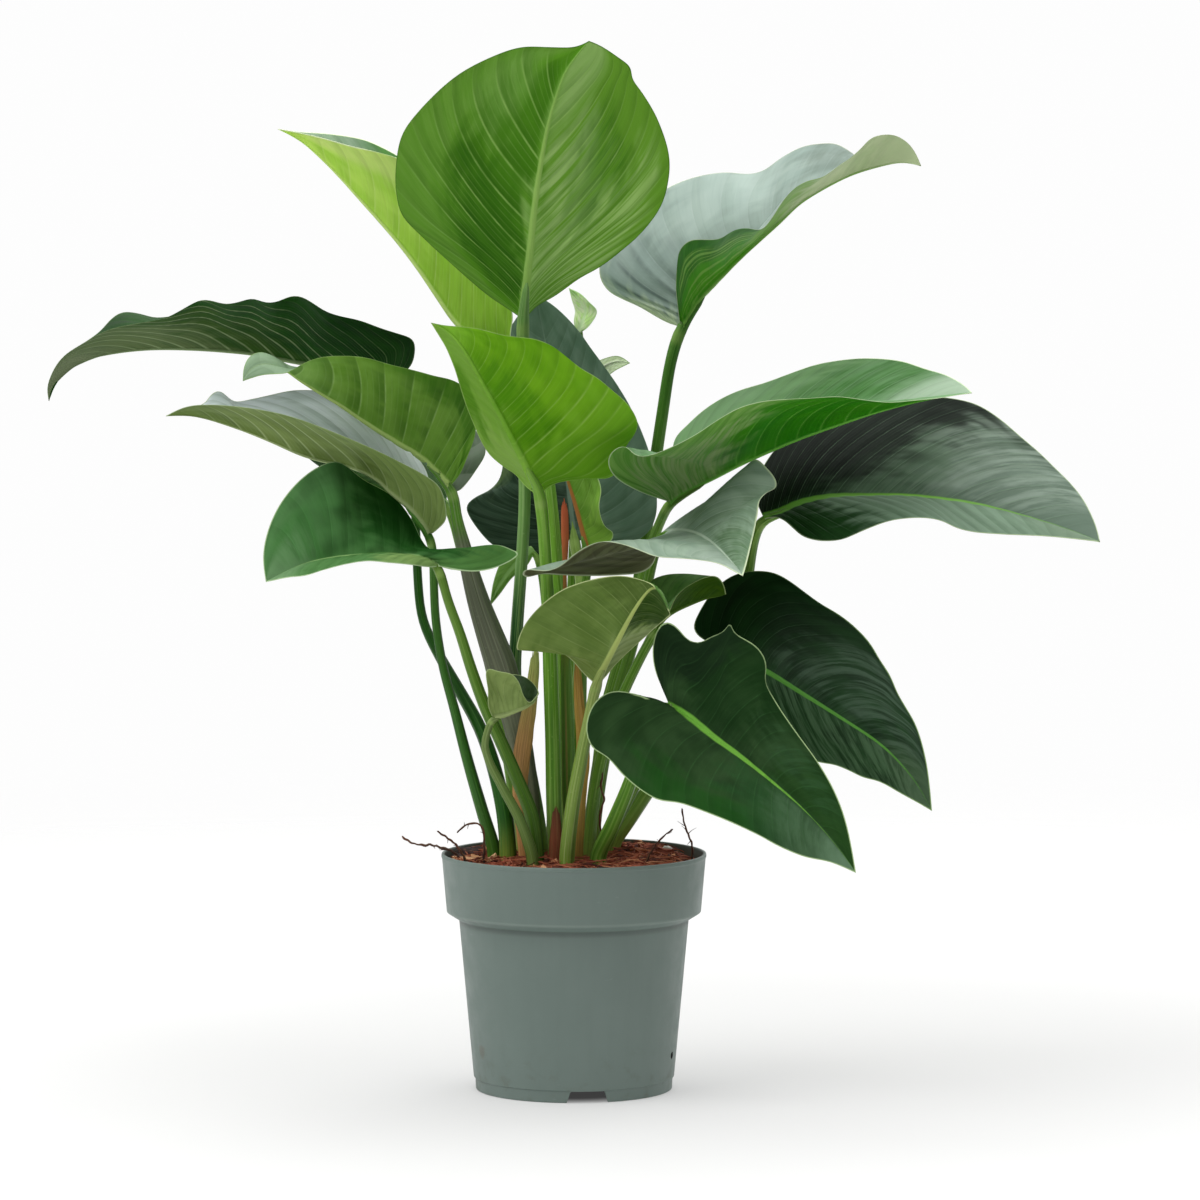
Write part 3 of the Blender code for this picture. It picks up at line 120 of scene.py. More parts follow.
LEAF["leaf_14_right_front"] = dict(up=1,
 M=[(669,706,-86),(690,718,-90),(715,738,-94),(740,756,-98),(770,780,-103),(800,806,-108),(825,832,-112),(845,857,-115),(856,873,-117)],
 A=[(667,708,-88),(655,703,-94),(645,698,-98),(632,694,-101),(618,691,-103),(605,694,-104),(595,702,-105),(589,713,-106),(586,727,-107),(588,740,-108),(594,750,-109),(604,755,-111),(612,762,-112),(620,772,-113),(634,785,-115),(645,793,-116),(658,800,-117),(680,803,-118),(700,810,-119),(730,822,-120),(760,836,-120),(778,846,-120),(805,857,-119),(830,862,-118),(845,868,-117),(856,873,-117)],
 B=[(671,704,-86),(664,690,-86),(657,676,-86),(653,660,-86),(653,645,-86),(657,630,-86),(666,621,-86),(678,628,-87),(688,640,-89),(700,643,-90),(712,636,-91),(724,632,-93),(731,621,-95),(733,632,-96),(741,637,-97),(755,645,-98),(764,656,-99),(767,668,-100),(765,680,-101),(778,705,-103),(797,733,-106),(818,762,-109),(835,792,-112),(846,822,-114),(856,873,-117)])
LEAF["leaf_15_right_back"] = dict(up=1,
 M=[(736,656,-20),(752,664,-22),(768,672,-24),(803,694,-29),(841,718,-35),(880,744,-42),(900,763,-46),(917,784,-50),(932,811,-55)],
 A=[(734,658,-20),(731,668,-18),(730,682,-16),(738,698,-16),(755,718,-22),(775,738,-28),(798,754,-34),(818,762,-38),(835,765,-41),(850,771,-43),(862,777,-45),(880,782,-48),(900,793,-50),(920,804,-53),(932,811,-55)],
 B=[(735,654,-18),(725,650,-8),(710,643,4),(698,636,10),(693,628,14),(699,613,20),(709,597,26),(722,583,30),(735,575,31),(755,571,29),(775,573,25),(790,581,20),(805,592,14),(820,603,8),(840,615,0),(855,627,-7),(870,643,-14),(880,660,-20),(890,675,-26),(897,692,-31),(905,706,-36),(915,723,-41),(922,743,-46),(927,765,-50),(930,788,-53),(932,811,-55)])
LEAF["leaf_16_small_curl"] = dict(up=1,
 M=[(494,717,-48),(505,715,-50),(516,711,-51),(526,707,-51),(534,702,-48),(539,693,-44)],
 A=[(492,716,-51),(488,705,-58),(488,690,-66),(487,669,-70),(500,672,-72),(512,674,-72),(519,682,-70),(523,695,-64),(530,703,-54),(539,693,-44)],
 B=[(493,716,-45),(490,705,-38),(492,690,-32),(497,680,-29),(507,675,-28),(518,675,-28),(528,679,-30),(535,685,-35),(539,693,-44)], a=1.1)
LEAF["leaf_17_center_back"] = dict(up=-1,
 M=[(574,536,98),(566,470,100),(556,400,102),(547,350,104),(540,315,106),(537,296,106)],
 A=[(571,537,98),(560,547,96),(545,556,92),(530,557,88),(510,552,86),(494,546,86),(480,532,86),(468,514,88),(466,506,89),(476,497,91),(490,490,93),(500,478,94),(503,455,95),(497,425,96),(494,395,98),(497,365,100),(505,338,102),(515,320,104),(526,306,106),(537,296,106)],
 B=[(577,537,98),(588,545,97),(600,549,95),(615,548,94),(635,542,93),(650,530,92),(656,515,92),(657,500,92),(655,480,92),(650,455,93),(645,440,94),(632,410,96),(618,386,98),(604,366,100),(590,347,102),(578,330,104),(560,311,105),(547,301,106),(537,296,106)])
LEAF["leaf_18_left_back"] = dict(up=-1,
 M=[(446,500,115),(420,485,119),(390,470,123),(355,458,127),(325,450,131),(297,447,133)],
 A=[(447,502,113),(440,510,107),(420,508,102),(395,498,100),(365,486,101),(340,476,105),(322,468,113),(308,458,123),(297,447,133)],
 B=[(446,498,119),(448,488,127),(440,470,138),(420,455,146),(390,443,150),(360,438,149),(335,440,146),(315,443,141),(297,447,133)])
LEAF["leaf_19_inner"] = dict(up=1, a=1.1,
 M=[(588,549,24),(584,535,25),(578,512,27),(571,490,30),(564,468,33),(556,438,36)],
 A=[(587,548,27),(588,538,38),(588,515,48),(584,490,52),(577,468,50),(568,450,44),(556,438,36)],
 B=[(590,549,22),(603,546,16),(612,540,12),(613,532,10),(606,528,8),(601,518,8),(599,505,9),(601,490,12),(597,475,16),(588,458,22),(574,444,30),(556,438,36)])
LEAF["leaf_20_young_upper"] = dict(up=-1, a=1.0,
 M=[(578,334,112),(583,322,108),(586,310,106),(578,298,106),(569,288,108)],
 A=[(577,333,113),(574,322,116),(575,311,118),(572,300,116),(569,288,108)],
 B=[(580,333,110),(590,325,102),(597,311,98),(589,302,98),(581,294,102),(569,288,108)], bulge=1.0)
LEAF["leaf_21_young_lower"] = dict(up=1, a=1.0,
 M=[(585,395,122),(592,380,122),(602,368,121),(615,362,120),(630,363,118)],
 A=[(583,394,122),(586,378,126),(594,364,128),(606,358,127),(618,356,124),(630,363,118)],
 B=[(587,396,120),(597,386,116),(608,376,113),(616,370,113),(624,366,115),(630,363,118)], bulge=1.0)
LEAF["leaf_22_back_low"] = dict(up=1, a=1.0,
 M=[(533,548,62),(522,558,60),(509,572,57),(498,588,54),(490,606,52)],
 A=[(531,546,63),(514,552,62),(501,563,60),(494,580,56),(490,606,52)],
 B=[(535,551,61),(526,567,59),(512,578,56),(500,594,53),(490,606,52)], bulge=1.0)

# ---- petioles and sheaths -----------------------------------------------------
# (x, y) of the foot in mm, radii at the foot, middle and top in mm, then points
# of the elevation sheet on the way up to the leaf.
PET = {}
PET["petiole_01"] = ((-23,14), (5.0,4.4,4.4), [(535,800,17),(524,740,19),(515,680,19),(517,630,16),(522,560,8),(525,500,-3),(524,450,-14),(524,400,-28),(523,350,-38),(523,320,-42)])
PET["petiole_02"] = ((-9,3), (5.5,5.0,4.2), [(567,800,4),(567,740,4),(565,680,4),(562,620,5),(557,570,6),(552,510,10),(544,450,16),(530,395,22),(515,360,26),(510,351,28)])
PET["petiole_03"] = ((11.5,58), (5.5,5.0,4.4), [(597,780,66),(612,700,80),(634,620,100),(642,560,112),(650,500,116),(657,450,112),(663,410,106),(671,360,98),(681,328,93)])
PET["petiole_04"] = ((-47,-8), (6.0,3.6,3.0), [(505,812,-5),(497,775,0),(482,730,10),(461,692,20),(438,652,34),(423,620,44),(418,575,54),(416,520,66),(411,470,76),(400,410,86),(389,380,94)])
PET["petiole_05"] = ((-32,2), (6.5,11.0,4.0), [(531,810,2),(524,765,0),(514,715,0),(503,672,1),(490,635,4),(478,600,9),(467,560,11),(457,520,12),(451,488,12)])
PET["petiole_06"] = ((-57,4), (5.0,3.6,3.2), [(484,815,4),(468,760,4),(455,710,5),(443,665,6),(436,620,8),(434,580,9),(433,553,7),(430,537,3)])
PET["petiole_07"] = ((-26,-28), (5.5,4.6,3.4), [(532,815,-28),(518,780,-28),(503,745,-29),(486,708,-30),(472,670,-30),(460,632,-30),(448,600,-29),(441,575,-27),(438,568,-26)])
PET["petiole_08"] = ((-12.7,-18), (5.8,5.4,4.4), [(554,800,-18),(553,740,-18),(551,680,-19),(549,620,-21),(546,560,-25),(542,510,-31),(540,497,-32)])
PET["petiole_09"] = ((11.6,42), (5.0,4.5,3.6), [(597,780,44),(606,710,50),(620,660,58),(638,600,66),(647,560,68),(656,532,60),(664,514,48),(669,504,39)])
PET["petiole_10"] = ((27,38), (5.5,4.6,3.8), [(625,825,38),(655,780,40),(700,715,45),(736,640,52),(747,585,54),(751,555,51),(756,532,45),(763,519,39)])
PET["petiole_11"] = ((13,24), (5.0,4.3,3.6), [(600,780,24),(614,710,28),(631,650,34),(644,600,40),(653,560,43),(660,537,45)])
PET["petiole_12"] = ((10,-8), (5.0,4.5,3.6), [(593,800,-8),(603,750,-9),(620,700,-11),(638,662,-13),(650,640,-15),(655,631,-15)])
PET["petiole_13"] = ((-4.8,-40), (5.5,5.0,4.0), [(572,810,-41),(580,765,-43),(588,725,-46),(595,690,-48),(597,685,-48)])
PET["petiole_14"] = ((17.3,-28), (6.0,5.0,3.6), [(612,825,-38),(628,787,-52),(641,750,-68),(652,722,-78),(662,708,-83),(668,706,-86)])
PET["petiole_15"] = ((22,8), (5.0,4.3,3.4), [(612,830,8),(632,790,6),(660,745,0),(700,695,-6),(722,669,-9),(732,659,-14)])
PET["petiole_16"] = ((-29,-43), (4.5,3.6,2.6), [(520,820,-44),(503,788,-45),(490,763,-46),(485,747,-47),(487,733,-48),(493,719,-48)])
PET["petiole_17"] = ((-3.4,32), (5.5,4.6,4.0), [(572,790,40),(576,720,50),(580,660,66),(582,600,82),(578,560,94),(574,539,98)])
PET["petiole_18"] = ((-37,34), (5.0,4.2,3.6), [(514,790,42),(503,720,55),(489,660,72),(474,600,90),(460,545,105),(448,505,114)])
PET["petiole_19"] = ((4,17), (4.5,4.0,3.2), [(578,800,19),(579,730,21),(581,650,23),(585,590,24),(588,552,24)])
PET["petiole_20"] = ((-8.5,62), (3.6,3.0,2.2), [(566,800,68),(570,700,82),(571,600,98),(574,520,112),(579,450,117),(582,380,117),(579,337,112)])
PET["petiole_21"] = ((3,74), (3.6,3.0,2.2), [(579,800,78),(582,700,92),(584,600,108),(586,520,120),(587,450,125),(585,398,122)])
PET["petiole_22"] = ((-17,40), (3.6,3.0,2.2), [(552,790,42),(550,700,48),(546,620,56),(540,570,61),(534,550,62)])
PET["sheath_center"] = ((-35.5,-14), (4.2,6.4,3.0), [(520,800,-12),(521,765,-13),(525,735,-14),(530,705,-15),(534,670,-17),(536,640,-20)])
PET["sheath_red"] = ((-13,-31), (5.0,4.8,2.4), [(556,840,-30),(556,806,-28.5)])
PET["sheath_orange"] = ((3,-24), (4.0,5.5,2.4), [(580,800,-25),(583,745,-28),(579,700,-30),(577,650,-32)])
PET["sheath_upper"] = ((-2,-6), (3.2,3.0,2.8), [(567,800,-7),(566,740,-8),(565,660,-8),(565,580,-6),(565,530,-3),(564,498,0)])

# ---- roots: radius in mm, then points; ("s", x, y) lies on the potting mix -----
ROOT = {}
ROOT["root_left_curl"] = (1.1, [(402,836,-12),(410,842,-12),(421,845,-11),(432,845,-9),(442,848,-7),(452,851,-6),("s",-80,-5)])
ROOT["root_left_loop"] = (1.0, [(457,833,-30),(463,827,-31),(474,823,-32),(482,827,-33),(484,838,-33),("s",-64,-32)])
ROOT["root_left_twig"] = (1.1, [(437,831,-42),(446,837,-42),(456,845,-40),("s",-74,-38)])
ROOT["root_right_upright"] = (0.9, [(682,808,-22),(684,822,-22),(688,834,-20),(692,845,-17),("s",84,-14)])
ROOT["root_centre_dry"] = (1.0, [(603,772,-17),(601,786,-18),(604,800,-19),(600,815,-19),(601,835,-19),("s",20,-18)])
ROOT["root_right_twig"] = (0.9, [(673,829,-46),(664,836,-46),(655,846,-44),("s",50,-42)])
# ---- looks -----------------------------------------------------------------------
# u and l are two tones of the upper and lower faces (display values); the grey and
# silver upper tones of leaves 03 and 06 are a painted sheen and reflection. v the side
# veins, r the midrib, m the margin; N side veins per half. wash lists soft zones, some
# of the leaf's own tone, some painted sheen, highlight and shade: colour, amount, face,
# from and to across (-1 one margin, 0 midrib, 1 the other), from and to along, and how
# streaky (0 to 1 along the veins, above 1 in rays from the base, below 0 in bands
# between the veins, "v" on the veins alone, "p" in the pleats of the fold).
FLOOR_C = (182, 182, 181)
FLOOR_GLOW = 0.385
ROOM = (0.30, 0.54, 0.40)          # in front, behind, and more overhead
BOXES = [("key", (-2.3, -1.4, 2.7), (0, 0, 0.35), (2.6, 2.6), 52.0),
         ("top", (0.1, 0.2, 3.2), (0, 0, 0.4), (3.2, 3.2), 72.0),
         ("rear", (1.6, 2.4, 1.9), (0, 0, 0.45), (1.6, 1.6), 14.0)]
POT_C = ((103, 119, 112), (110, 126, 119), (92, 106, 100))

LOOK = {
    # painted sheen: the pale streaky washes on the right half (0 to 1) of the lower face
    "leaf_01_top": dict(u=((30, 84, 12), (44, 100, 20)), l=((72, 130, 10), (92, 152, 30)), vu=(90, 140, 60), vl=(160, 202, 106),
                        rl=(150, 190, 96), m=(60, 104, 30), N=11, w=0.07, vls=0.5, rough=0.48, spec=0.10, pleat=0.45, rw=4.4, rf=0.6, ms=0.6,
                        saw=0.30, rays=20.0, sweep=(0.30, 0.48),
                        wash=(((44, 100, 2), 0.85, "l", -0.62, 0.0, 0.07, 0.46, 0.3), ((60, 118, 10), 0.6, "l", -0.4, 0, 0.4, 0.96, 0.3),
                              ((118, 168, 64), 0.75, "l", -1, -0.66, 0, 0.92, 0.5), ((124, 172, 78), 0.6, "l", -0.9, -0.4, 0.56, 0.8, 0.5),
                              ((112, 168, 46), 0.95, "l", 0, 1, 0, 1, 0.15), ((160, 198, 116), 0.85, "l", 0, 1, 0.72, 1, 0.35),
                              ((172, 208, 126), 0.85, "l", 0, 0.5, 0.1, 0.66, 0.95), ((64, 126, 14), 0.75, "l", 0.28, 0.7, 0.22, 0.6, 0.8),
                              ((186, 224, 134), 0.75, "l", 0, 0.9, 0, 0.24, 0.97))),
    "leaf_02_upper_left": dict(u=((60, 120, 40), (84, 140, 60)), l=((184, 236, 82), (208, 250, 108)), vu=(120, 170, 90), vl=(224, 252, 150),
                        m=(238, 250, 204), N=13, vls=0.4, rough=0.48, spec=0.12, pleat=0.35, saw=0.25, sweep=(0.2, 0.18),
                        wash=(((156, 212, 58), 0.8, "l", -1, 1, 0, 0.5, 0.3), ((232, 252, 150), 0.7, "l", -1, -0.6, 0.4, 0.9, 0.2),
                              ((232, 252, 150), 0.7, "l", 0.6, 1, 0.4, 0.9, 0.2), ((170, 180, 170), 0.5, "u", 0, 1, 0.6, 1, 0.2))),
    # painted sheen: the grey tones of the upper face and its paler washes; the "p" wash is painted shade in the pleats
    # of the fold
    "leaf_03_upper_right": dict(u=((138, 157, 148), (157, 174, 165)), l=((56, 152, 4), (80, 165, 12)), vu=(176, 190, 184), vl=(130, 176, 80),
                        m=(200, 210, 168), N=14, vus=0.12, vls=0.06, rough=0.42, spec=0.16, pleat=0.3, fold=(0.8, 0.40, 22.0), ms=0.5, saw=0.10,
                        rays=19.0, sweep=(0.1, 0.12), streak=0.2,
                        wash=(((104, 120, 108), 0.75, "u", 0.3, 1, 0.66, 1, 0.3), ((170, 188, 178), 0.5, "u", 0.1, 1, 0.3, 0.6, 0.2),
                              ((112, 128, 118), 0.5, "u", 0, 0.4, 0.1, 0.6, 0.2),
                              ((84, 100, 96), 0.35, "u", 0.1, 1, 0, 0.26, 0.3), ((64, 78, 76), 0.65, "u", 0.04, 0.80, 0.03, 0.20, "p"), ((204, 220, 176), 0.85, "u", -1, 1, 0, 0.035, 0.1),
                              ((150, 184, 108), 0.9, "l", -1, 1, 0.48, 1, 0.2), ((30, 100, 10), 0.8, "l", -1, -0.4, 0, 0.42, 0.3),
                              ((214, 224, 184), 0.85, "l", -1, 1, 0.64, 1, 0.2), ((146, 194, 90), 0.85, "l", -0.75, 0, 0.04, 0.62, 1.85))),
    "leaf_04_left_long": dict(u=((24, 62, 16), (36, 78, 24)), l=((12, 66, 4), (26, 80, 8)), vu=(80, 120, 60), vl=(134, 156, 108),
                        m=(120, 140, 96), N=18, w=0.075, vls=0.55, rough=0.45, spec=0.10, pleat=0.6, ms=0.6, mw=0.7, saw=0.4, sweep=(0.34, 0.24),
                        wash=(((60, 90, 28), 0.8, "l", -1, 1, 0.36, 1, 0.5), ((104, 122, 78), 0.85, "l", -1, 1, 0.54, 1, 0.4),
                              ((150, 168, 122), 0.7, "l", -1, 1, 0.22, 0.78, "v"), ((126, 138, 106), 0.8, "l", -1, 1, 0.82, 1, 0.2))),
    "leaf_05_left_upper": dict(u=((116, 142, 110), (132, 158, 126)), l=((96, 144, 40), (122, 166, 64)), vu=(140, 160, 130), vl=(164, 200, 116),
                        rl=(186, 212, 124), ru=(150, 176, 120), rls=0.95, rw=3.0, m=(140, 176, 90), ms=0.5, mw=0.8, N=10, vls=0.5, rough=0.45,
                        spec=0.10, pleat=0.85, saw=0.62, sweep=(0.10, 0.02),
                        wash=(((52, 112, 2), 0.75, "l", -1, -0.7, 0.02, 0.42, 0.3), ((52, 112, 2), 0.75, "l", 0.7, 1, 0.02, 0.42, 0.3),
                              ((154, 198, 104), 0.7, "l", -1, 1, 0.72, 1, 0.2), ((128, 174, 68), 0.6, "l", -0.5, 0.5, 0, 0.34, 0.5),
                              ((128, 172, 70), 0.5, "l", -0.9, 0.9, 0.4, 0.7, 0.6), ((150, 156, 148), 0.8, "u", 0.3, 1, 0, 0.4, 0.2))),
    # painted reflection: the silver-grey tones of the upper face and its grey wash
    "leaf_06_left_lower": dict(u=((198, 210, 208), (222, 230, 234)), l=((102, 124, 56), (122, 144, 78)), vu=(200, 208, 208), vl=(166, 184, 128),
                        m=(166, 184, 140), N=15, w=0.07, vls=0.45, vus=0.15, rough=0.45, spec=0.08, pleat=0.35, saw=0.32, sweep=(0.20, 0.30),
                        wash=(((148, 172, 100), 0.75, "l", -1, 1, 0, 0.36, 0.3), ((72, 100, 22), 0.55, "l", -1, 1, 0.78, 1, 0.2),
                              ((168, 186, 130), 0.5, "l", -1, 1, 0.26, 0.78, "v"), ((150, 162, 160), 0.4, "u", 0, 1, 0.4, 1, 0.3))),
    # painted light: the pale washes over the front half (-1 to 0) of the upper face
    "leaf_07_left_round": dict(u=((56, 96, 50), (76, 126, 68)), l=((90, 120, 70), (110, 140, 88)), vu=(84, 152, 78), vl=(140, 160, 110),
                        ru=(150, 190, 120), m=(182, 208, 160), N=13, vus=0.12, rough=0.55, spec=0.0, pleat=0.35, saw=0.2, sweep=(0.05, 0.15),
                        wash=(((96, 142, 84), 0.85, "u", -1, 0, 0, 1, 0.3), ((150, 180, 108), 0.8, "u", -1, 0, 0, 0.34, 0.3),
                              ((50, 98, 8), 0.6, "u", -0.5, 0, 0.36, 0.5, 0.2), ((132, 166, 124), 0.7, "u", -1, 0.5, 0.80, 1, 0.2), ((96, 140, 88), 0.5, "u", 0.1, 1, 0.66, 1, 0.3),
                              ((52, 112, 44), 0.5, "u", 0, 0.7, 0.7, 0.9, 0.7), ((16, 74, 14), 0.75, "u", 0.25, 1, 0.2, 0.54, 0.2),
                              ((90, 132, 66), 0.6, "u", 0, 1, 0, 0.14, 0.3))),
    "leaf_08_center": dict(u=((50, 116, 20), (66, 130, 30)), l=((104, 168, 12), (124, 186, 28)), vu=(120, 170, 70), vl=(172, 218, 100),
                        rl=(150, 196, 84), rls=0.25, rw=1.2, m=(196, 222, 140), ms=0.4, mw=0.8, N=14, w=0.06, vls=0.3, rough=0.48, spec=0.10,
                        pleat=0.4, saw=0.26, sweep=(0.15, 0.28), quiet=(0.0, 1.0),
                        wash=(((126, 172, 66), 0.95, "l", -1, 0, 0, 1, 0.2), ((150, 188, 92), 0.7, "l", -0.9, 0, 0, 0.3, 0.3),
                              ((76, 134, 4), 0.8, "l", -1, -0.72, 0.2, 0.6, 0.2), ((78, 146, 2), 0.75, "l", 0, 0.36, 0.3, 0.72, 0.4),
                              ((148, 208, 66), 0.7, "l", 0, 1, 0.84, 1, 0.2), ((186, 224, 112), 0.5, "l", 0, 1, 0, 0.34, "v"),
                              ((140, 200, 54), 0.6, "l", 0, 1, 0, 0.26, 0.4))),
    # painted sheen: the pale grey wash at the tip of the upper face
    "leaf_09_right_upper": dict(u=((88, 140, 76), (110, 156, 102)), l=((38, 126, 2), (60, 142, 6)), vu=(140, 176, 132), vl=(112, 184, 70),
                        m=(206, 226, 180), N=16, vus=0.3, vls=0.3, rough=0.45, spec=0.12, pleat=0.35, saw=0.22, rays=15.0, sweep=(0.35, 0.20),
                        wash=(((164, 184, 162), 0.85, "u", 0, 1, 0.74, 1, 0.2), ((44, 100, 26), 0.85, "u", 0.2, 1, 0.36, 0.76, 0.4),
                              ((126, 164, 112), 0.5, "u", 0, 1, 0, 0.46, 0.4), ((140, 172, 132), 0.3, "u", 0, 1, 0, 0.22, 0.3),
                              ((146, 192, 98), 0.8, "l", -1, 1, 0, 0.32, 0.5), ((180, 198, 146), 0.6, "l", -0.8, 0.3, 0, 0.32, 0.97),
                              ((106, 180, 62), 0.5, "l", -1, 1, 0.16, 0.8, "v"), ((30, 112, 2), 0.6, "l", -0.4, 0.4, 0.4, 0.7, 0.2))),
    # painted sheen and shade: the pale washes of the upper face are its painted sheen, the darkest washes near its base
    # painted shade
    "leaf_10_right_dark": dict(u=((14, 42, 16), (26, 56, 26)), l=((70, 100, 60), (90, 120, 80)), vu=(118, 146, 118), vl=(130, 150, 110),
                        ru=(124, 184, 70), m=(176, 196, 152), N=20, w=0.06, vus=0.45, rough=0.48, spec=0.06, pleat=0.5, rw=4.6, rf=0.6,
                        saw=0.3, streak=0.2, sweep=(0.12, 0.26),
                        wash=(((132, 158, 134), 0.9, "u", -1, 0, 0.26, 1, 0.2), ((38, 78, 34), 0.75, "u", -1, 0, 0, 0.26, 0.3),
                              ((112, 130, 106), 0.6, "u", -1, 0, 0.84, 1, 0.2), ((102, 122, 106), 0.9, "u", 0, 1, 0.6, 1, 0.14),
                              ((124, 144, 128), 0.5, "u", 0.1, 0.95, 0.46, 0.70, 0.12), ((158, 174, 160), 0.6, "u", 0.06, 1, 0.36, 0.82, 0.85), ((100, 128, 100), 0.65, "u", 0, 0.5, 0.3, 0.54, 0.2),
                              ((66, 92, 66), 0.2, "u", 0, 0.8, 0.14, 0.5, 0.4), ((2, 16, 4), 0.97, "u", 0.10, 1, 0, 0.42, 0.25))),
    # painted sheen: the grey-green tones of the upper face and its pale wash at the tip of the front half
    "leaf_11_center_grey": dict(u=((136, 158, 140), (162, 182, 164)), l=((104, 110, 72), (128, 132, 92)), vu=(184, 200, 182), vl=(110, 108, 84),
                        m=(210, 222, 184), mw=1.6, N=13, w=0.07, vus=0.3, rough=0.45, spec=0.10, pleat=0.4, saw=0.2, rays=14.0, sweep=(0.40, 0.30),
                        wash=(((172, 186, 174), 0.7, "u", -1, 0, 0.7, 1, 0.4), ((88, 118, 82), 0.9, "u", 0, 1, 0.52, 0.94, 0.4),
                              ((110, 136, 106), 0.6, "u", 0, 1, 0.26, 0.56, 0.6), ((58, 56, 42), 0.5, "l", -1, 1, 0, 1, 1.8))),
    "leaf_12_small_right": dict(u=((112, 172, 84), (138, 194, 110)), l=((46, 84, 0), (60, 96, 0)), vu=(130, 166, 110), vl=(96, 132, 50),
                        m=(170, 192, 130), N=11, rough=0.45, spec=0.12, pleat=0.3, saw=0.25, rows=80),
    "leaf_13_center_olive": dict(u=((60, 100, 36), (76, 116, 50)), l=((92, 119, 50), (110, 136, 66)), vu=(120, 150, 92), vl=(150, 170, 100),
                        rl=(176, 192, 110), m=(196, 208, 150), N=12, vls=0.3, rough=0.48, spec=0.10, pleat=0.3, saw=0.16, sweep=(0.06, 0.06),
                        wash=(((68, 90, 28), 0.7, "l", -1, 0, 0.66, 1, 0.2), ((140, 162, 86), 0.7, "l", -1, 0, 0, 0.24, 0.2),
                              ((30, 62, 2), 0.92, "l", 0, 1, 0.52, 1, 0.15), ((150, 168, 108), 0.85, "l", 0, 1, 0, 0.44, 0.4))),
    # painted sheen: the pale washes towards the tip of the front half and the streaky one on the far half
    "leaf_14_right_front": dict(u=((34, 61, 29), (48, 77, 41)), l=((70, 104, 58), (90, 124, 74)), vu=(70, 122, 66), vl=(130, 156, 100),
                        ru=(124, 190, 72), m=(184, 212, 152), N=14, vus=0.16, rough=0.48, spec=0.07, pleat=0.35, rw=4.6, re=0.8, rf=0.62,
                        saw=0.22, sweep=(0.25, 0.25),
                        wash=(((42, 88, 44), 0.6, "u", -1, 0, 0.5, 0.74, 0.3), ((82, 114, 82), 0.8, "u", -1, 0, 0.68, 1, 0.4),
                              ((112, 144, 114), 0.8, "u", -1, 0, 0.86, 1, 0.3), ((30, 72, 16), 0.6, "u", 0, 1, 0.62, 1, 0.3),
                              ((6, 46, 6), 0.6, "u", 0.05, 1, 0.16, 0.46, 0.3), ((18, 86, 8), 0.5, "u", -1, -0.6, 0.2, 0.55, 0.2),
                              ((12, 34, 16), 0.75, "u", 0.45, 1, 0, 0.2, 0.2), ((60, 96, 62), 0.45, "u", 0.3, 0.9, 0.5, 0.8, 0.8))),
    # painted sheen: its three washes, streaks along the veins and a greyer tip
    "leaf_15_right_back": dict(u=((10, 40, 12), (22, 58, 22)), l=((60, 92, 50), (80, 112, 66)), vu=(76, 104, 76), vl=(120, 146, 94),
                        ru=(92, 156, 62), m=(156, 186, 126), N=18, vus=0.3, rough=0.46, spec=0.10, pleat=0.5, saw=0.35, sweep=(0.25, 0.44),
                        wash=(((82, 112, 80), 0.7, "u", -1, 0, 0.2, 1, 0.85), ((84, 108, 80), 0.8, "u", -1, 1, 0.78, 1, 0.4),
                              ((100, 124, 104), 0.5, "u", 0.1, 0.95, 0.28, 0.8, 0.85))),
    "leaf_16_small_curl": dict(u=((38, 60, 28), (50, 72, 42)), l=((126, 148, 82), (144, 166, 96)), vu=(70, 96, 60), vl=(160, 178, 116),
                        m=(170, 190, 130), N=10, rough=0.48, spec=0.12, pleat=0.25, rows=70),
    # painted shade: the two darkest washes, over the upper face near the base
    "leaf_17_center_back": dict(u=((84, 110, 90), (104, 128, 110)), l=((40, 60, 50), (60, 84, 66)), vu=(116, 138, 122), vl=(90, 116, 90),
                        m=(110, 140, 110), N=14, vus=0.3, rough=0.45, spec=0.16, pleat=0.35, ms=0.5, saw=0.25,
                        wash=(((22, 46, 26), 0.9, "u", -1, -0.3, 0, 0.6, 0.3), ((16, 34, 18), 0.85, "u", -0.5, 0.06, 0, 0.40, 0.2), ((76, 104, 82), 0.6, "u", -1, 1, 0.85, 1, 0.2),
                              ((126, 150, 96), 0.7, "u", -1, -0.88, 0.2, 0.34, 0.1))),
    "leaf_18_left_back": dict(u=((28, 64, 14), (52, 96, 24)), l=((24, 48, 14), (38, 64, 22)), vu=(60, 100, 50), vl=(60, 84, 50),
                        m=(80, 104, 70), N=11, rough=0.45, spec=0.12, pleat=0.3, rows=80, ms=0.5),
    "leaf_19_inner": dict(u=((74, 136, 34), (92, 150, 50)), l=((112, 162, 56), (128, 174, 68)), vu=(130, 176, 90), vl=(160, 196, 100),
                        ru=(190, 112, 64), rl=(190, 112, 64), rw=2.2, rf=0.5, m=(190, 214, 150), N=10, rough=0.48, spec=0.10, pleat=0.25, rows=80,
                        wash=(((90, 136, 34), 0.7, "l", 0.4, 1, 0.4, 1, 0.3), ((150, 198, 76), 0.7, "l", -1, 1, 0, 0.25, 0.2))),
    "leaf_20_young_upper": dict(u=((202, 246, 142), (236, 252, 206)), l=((130, 206, 88), (168, 228, 138)), vu=(214, 242, 186), vl=(190, 228, 160),
                        m=(214, 240, 190), N=8, rough=0.40, spec=0.16, pleat=0.1, rows=60, uneven=0.2, wavy=0.2,
                        wash=(((122, 200, 34), 0.8, "u", -1, 1, 0.78, 1, 0.2),)),
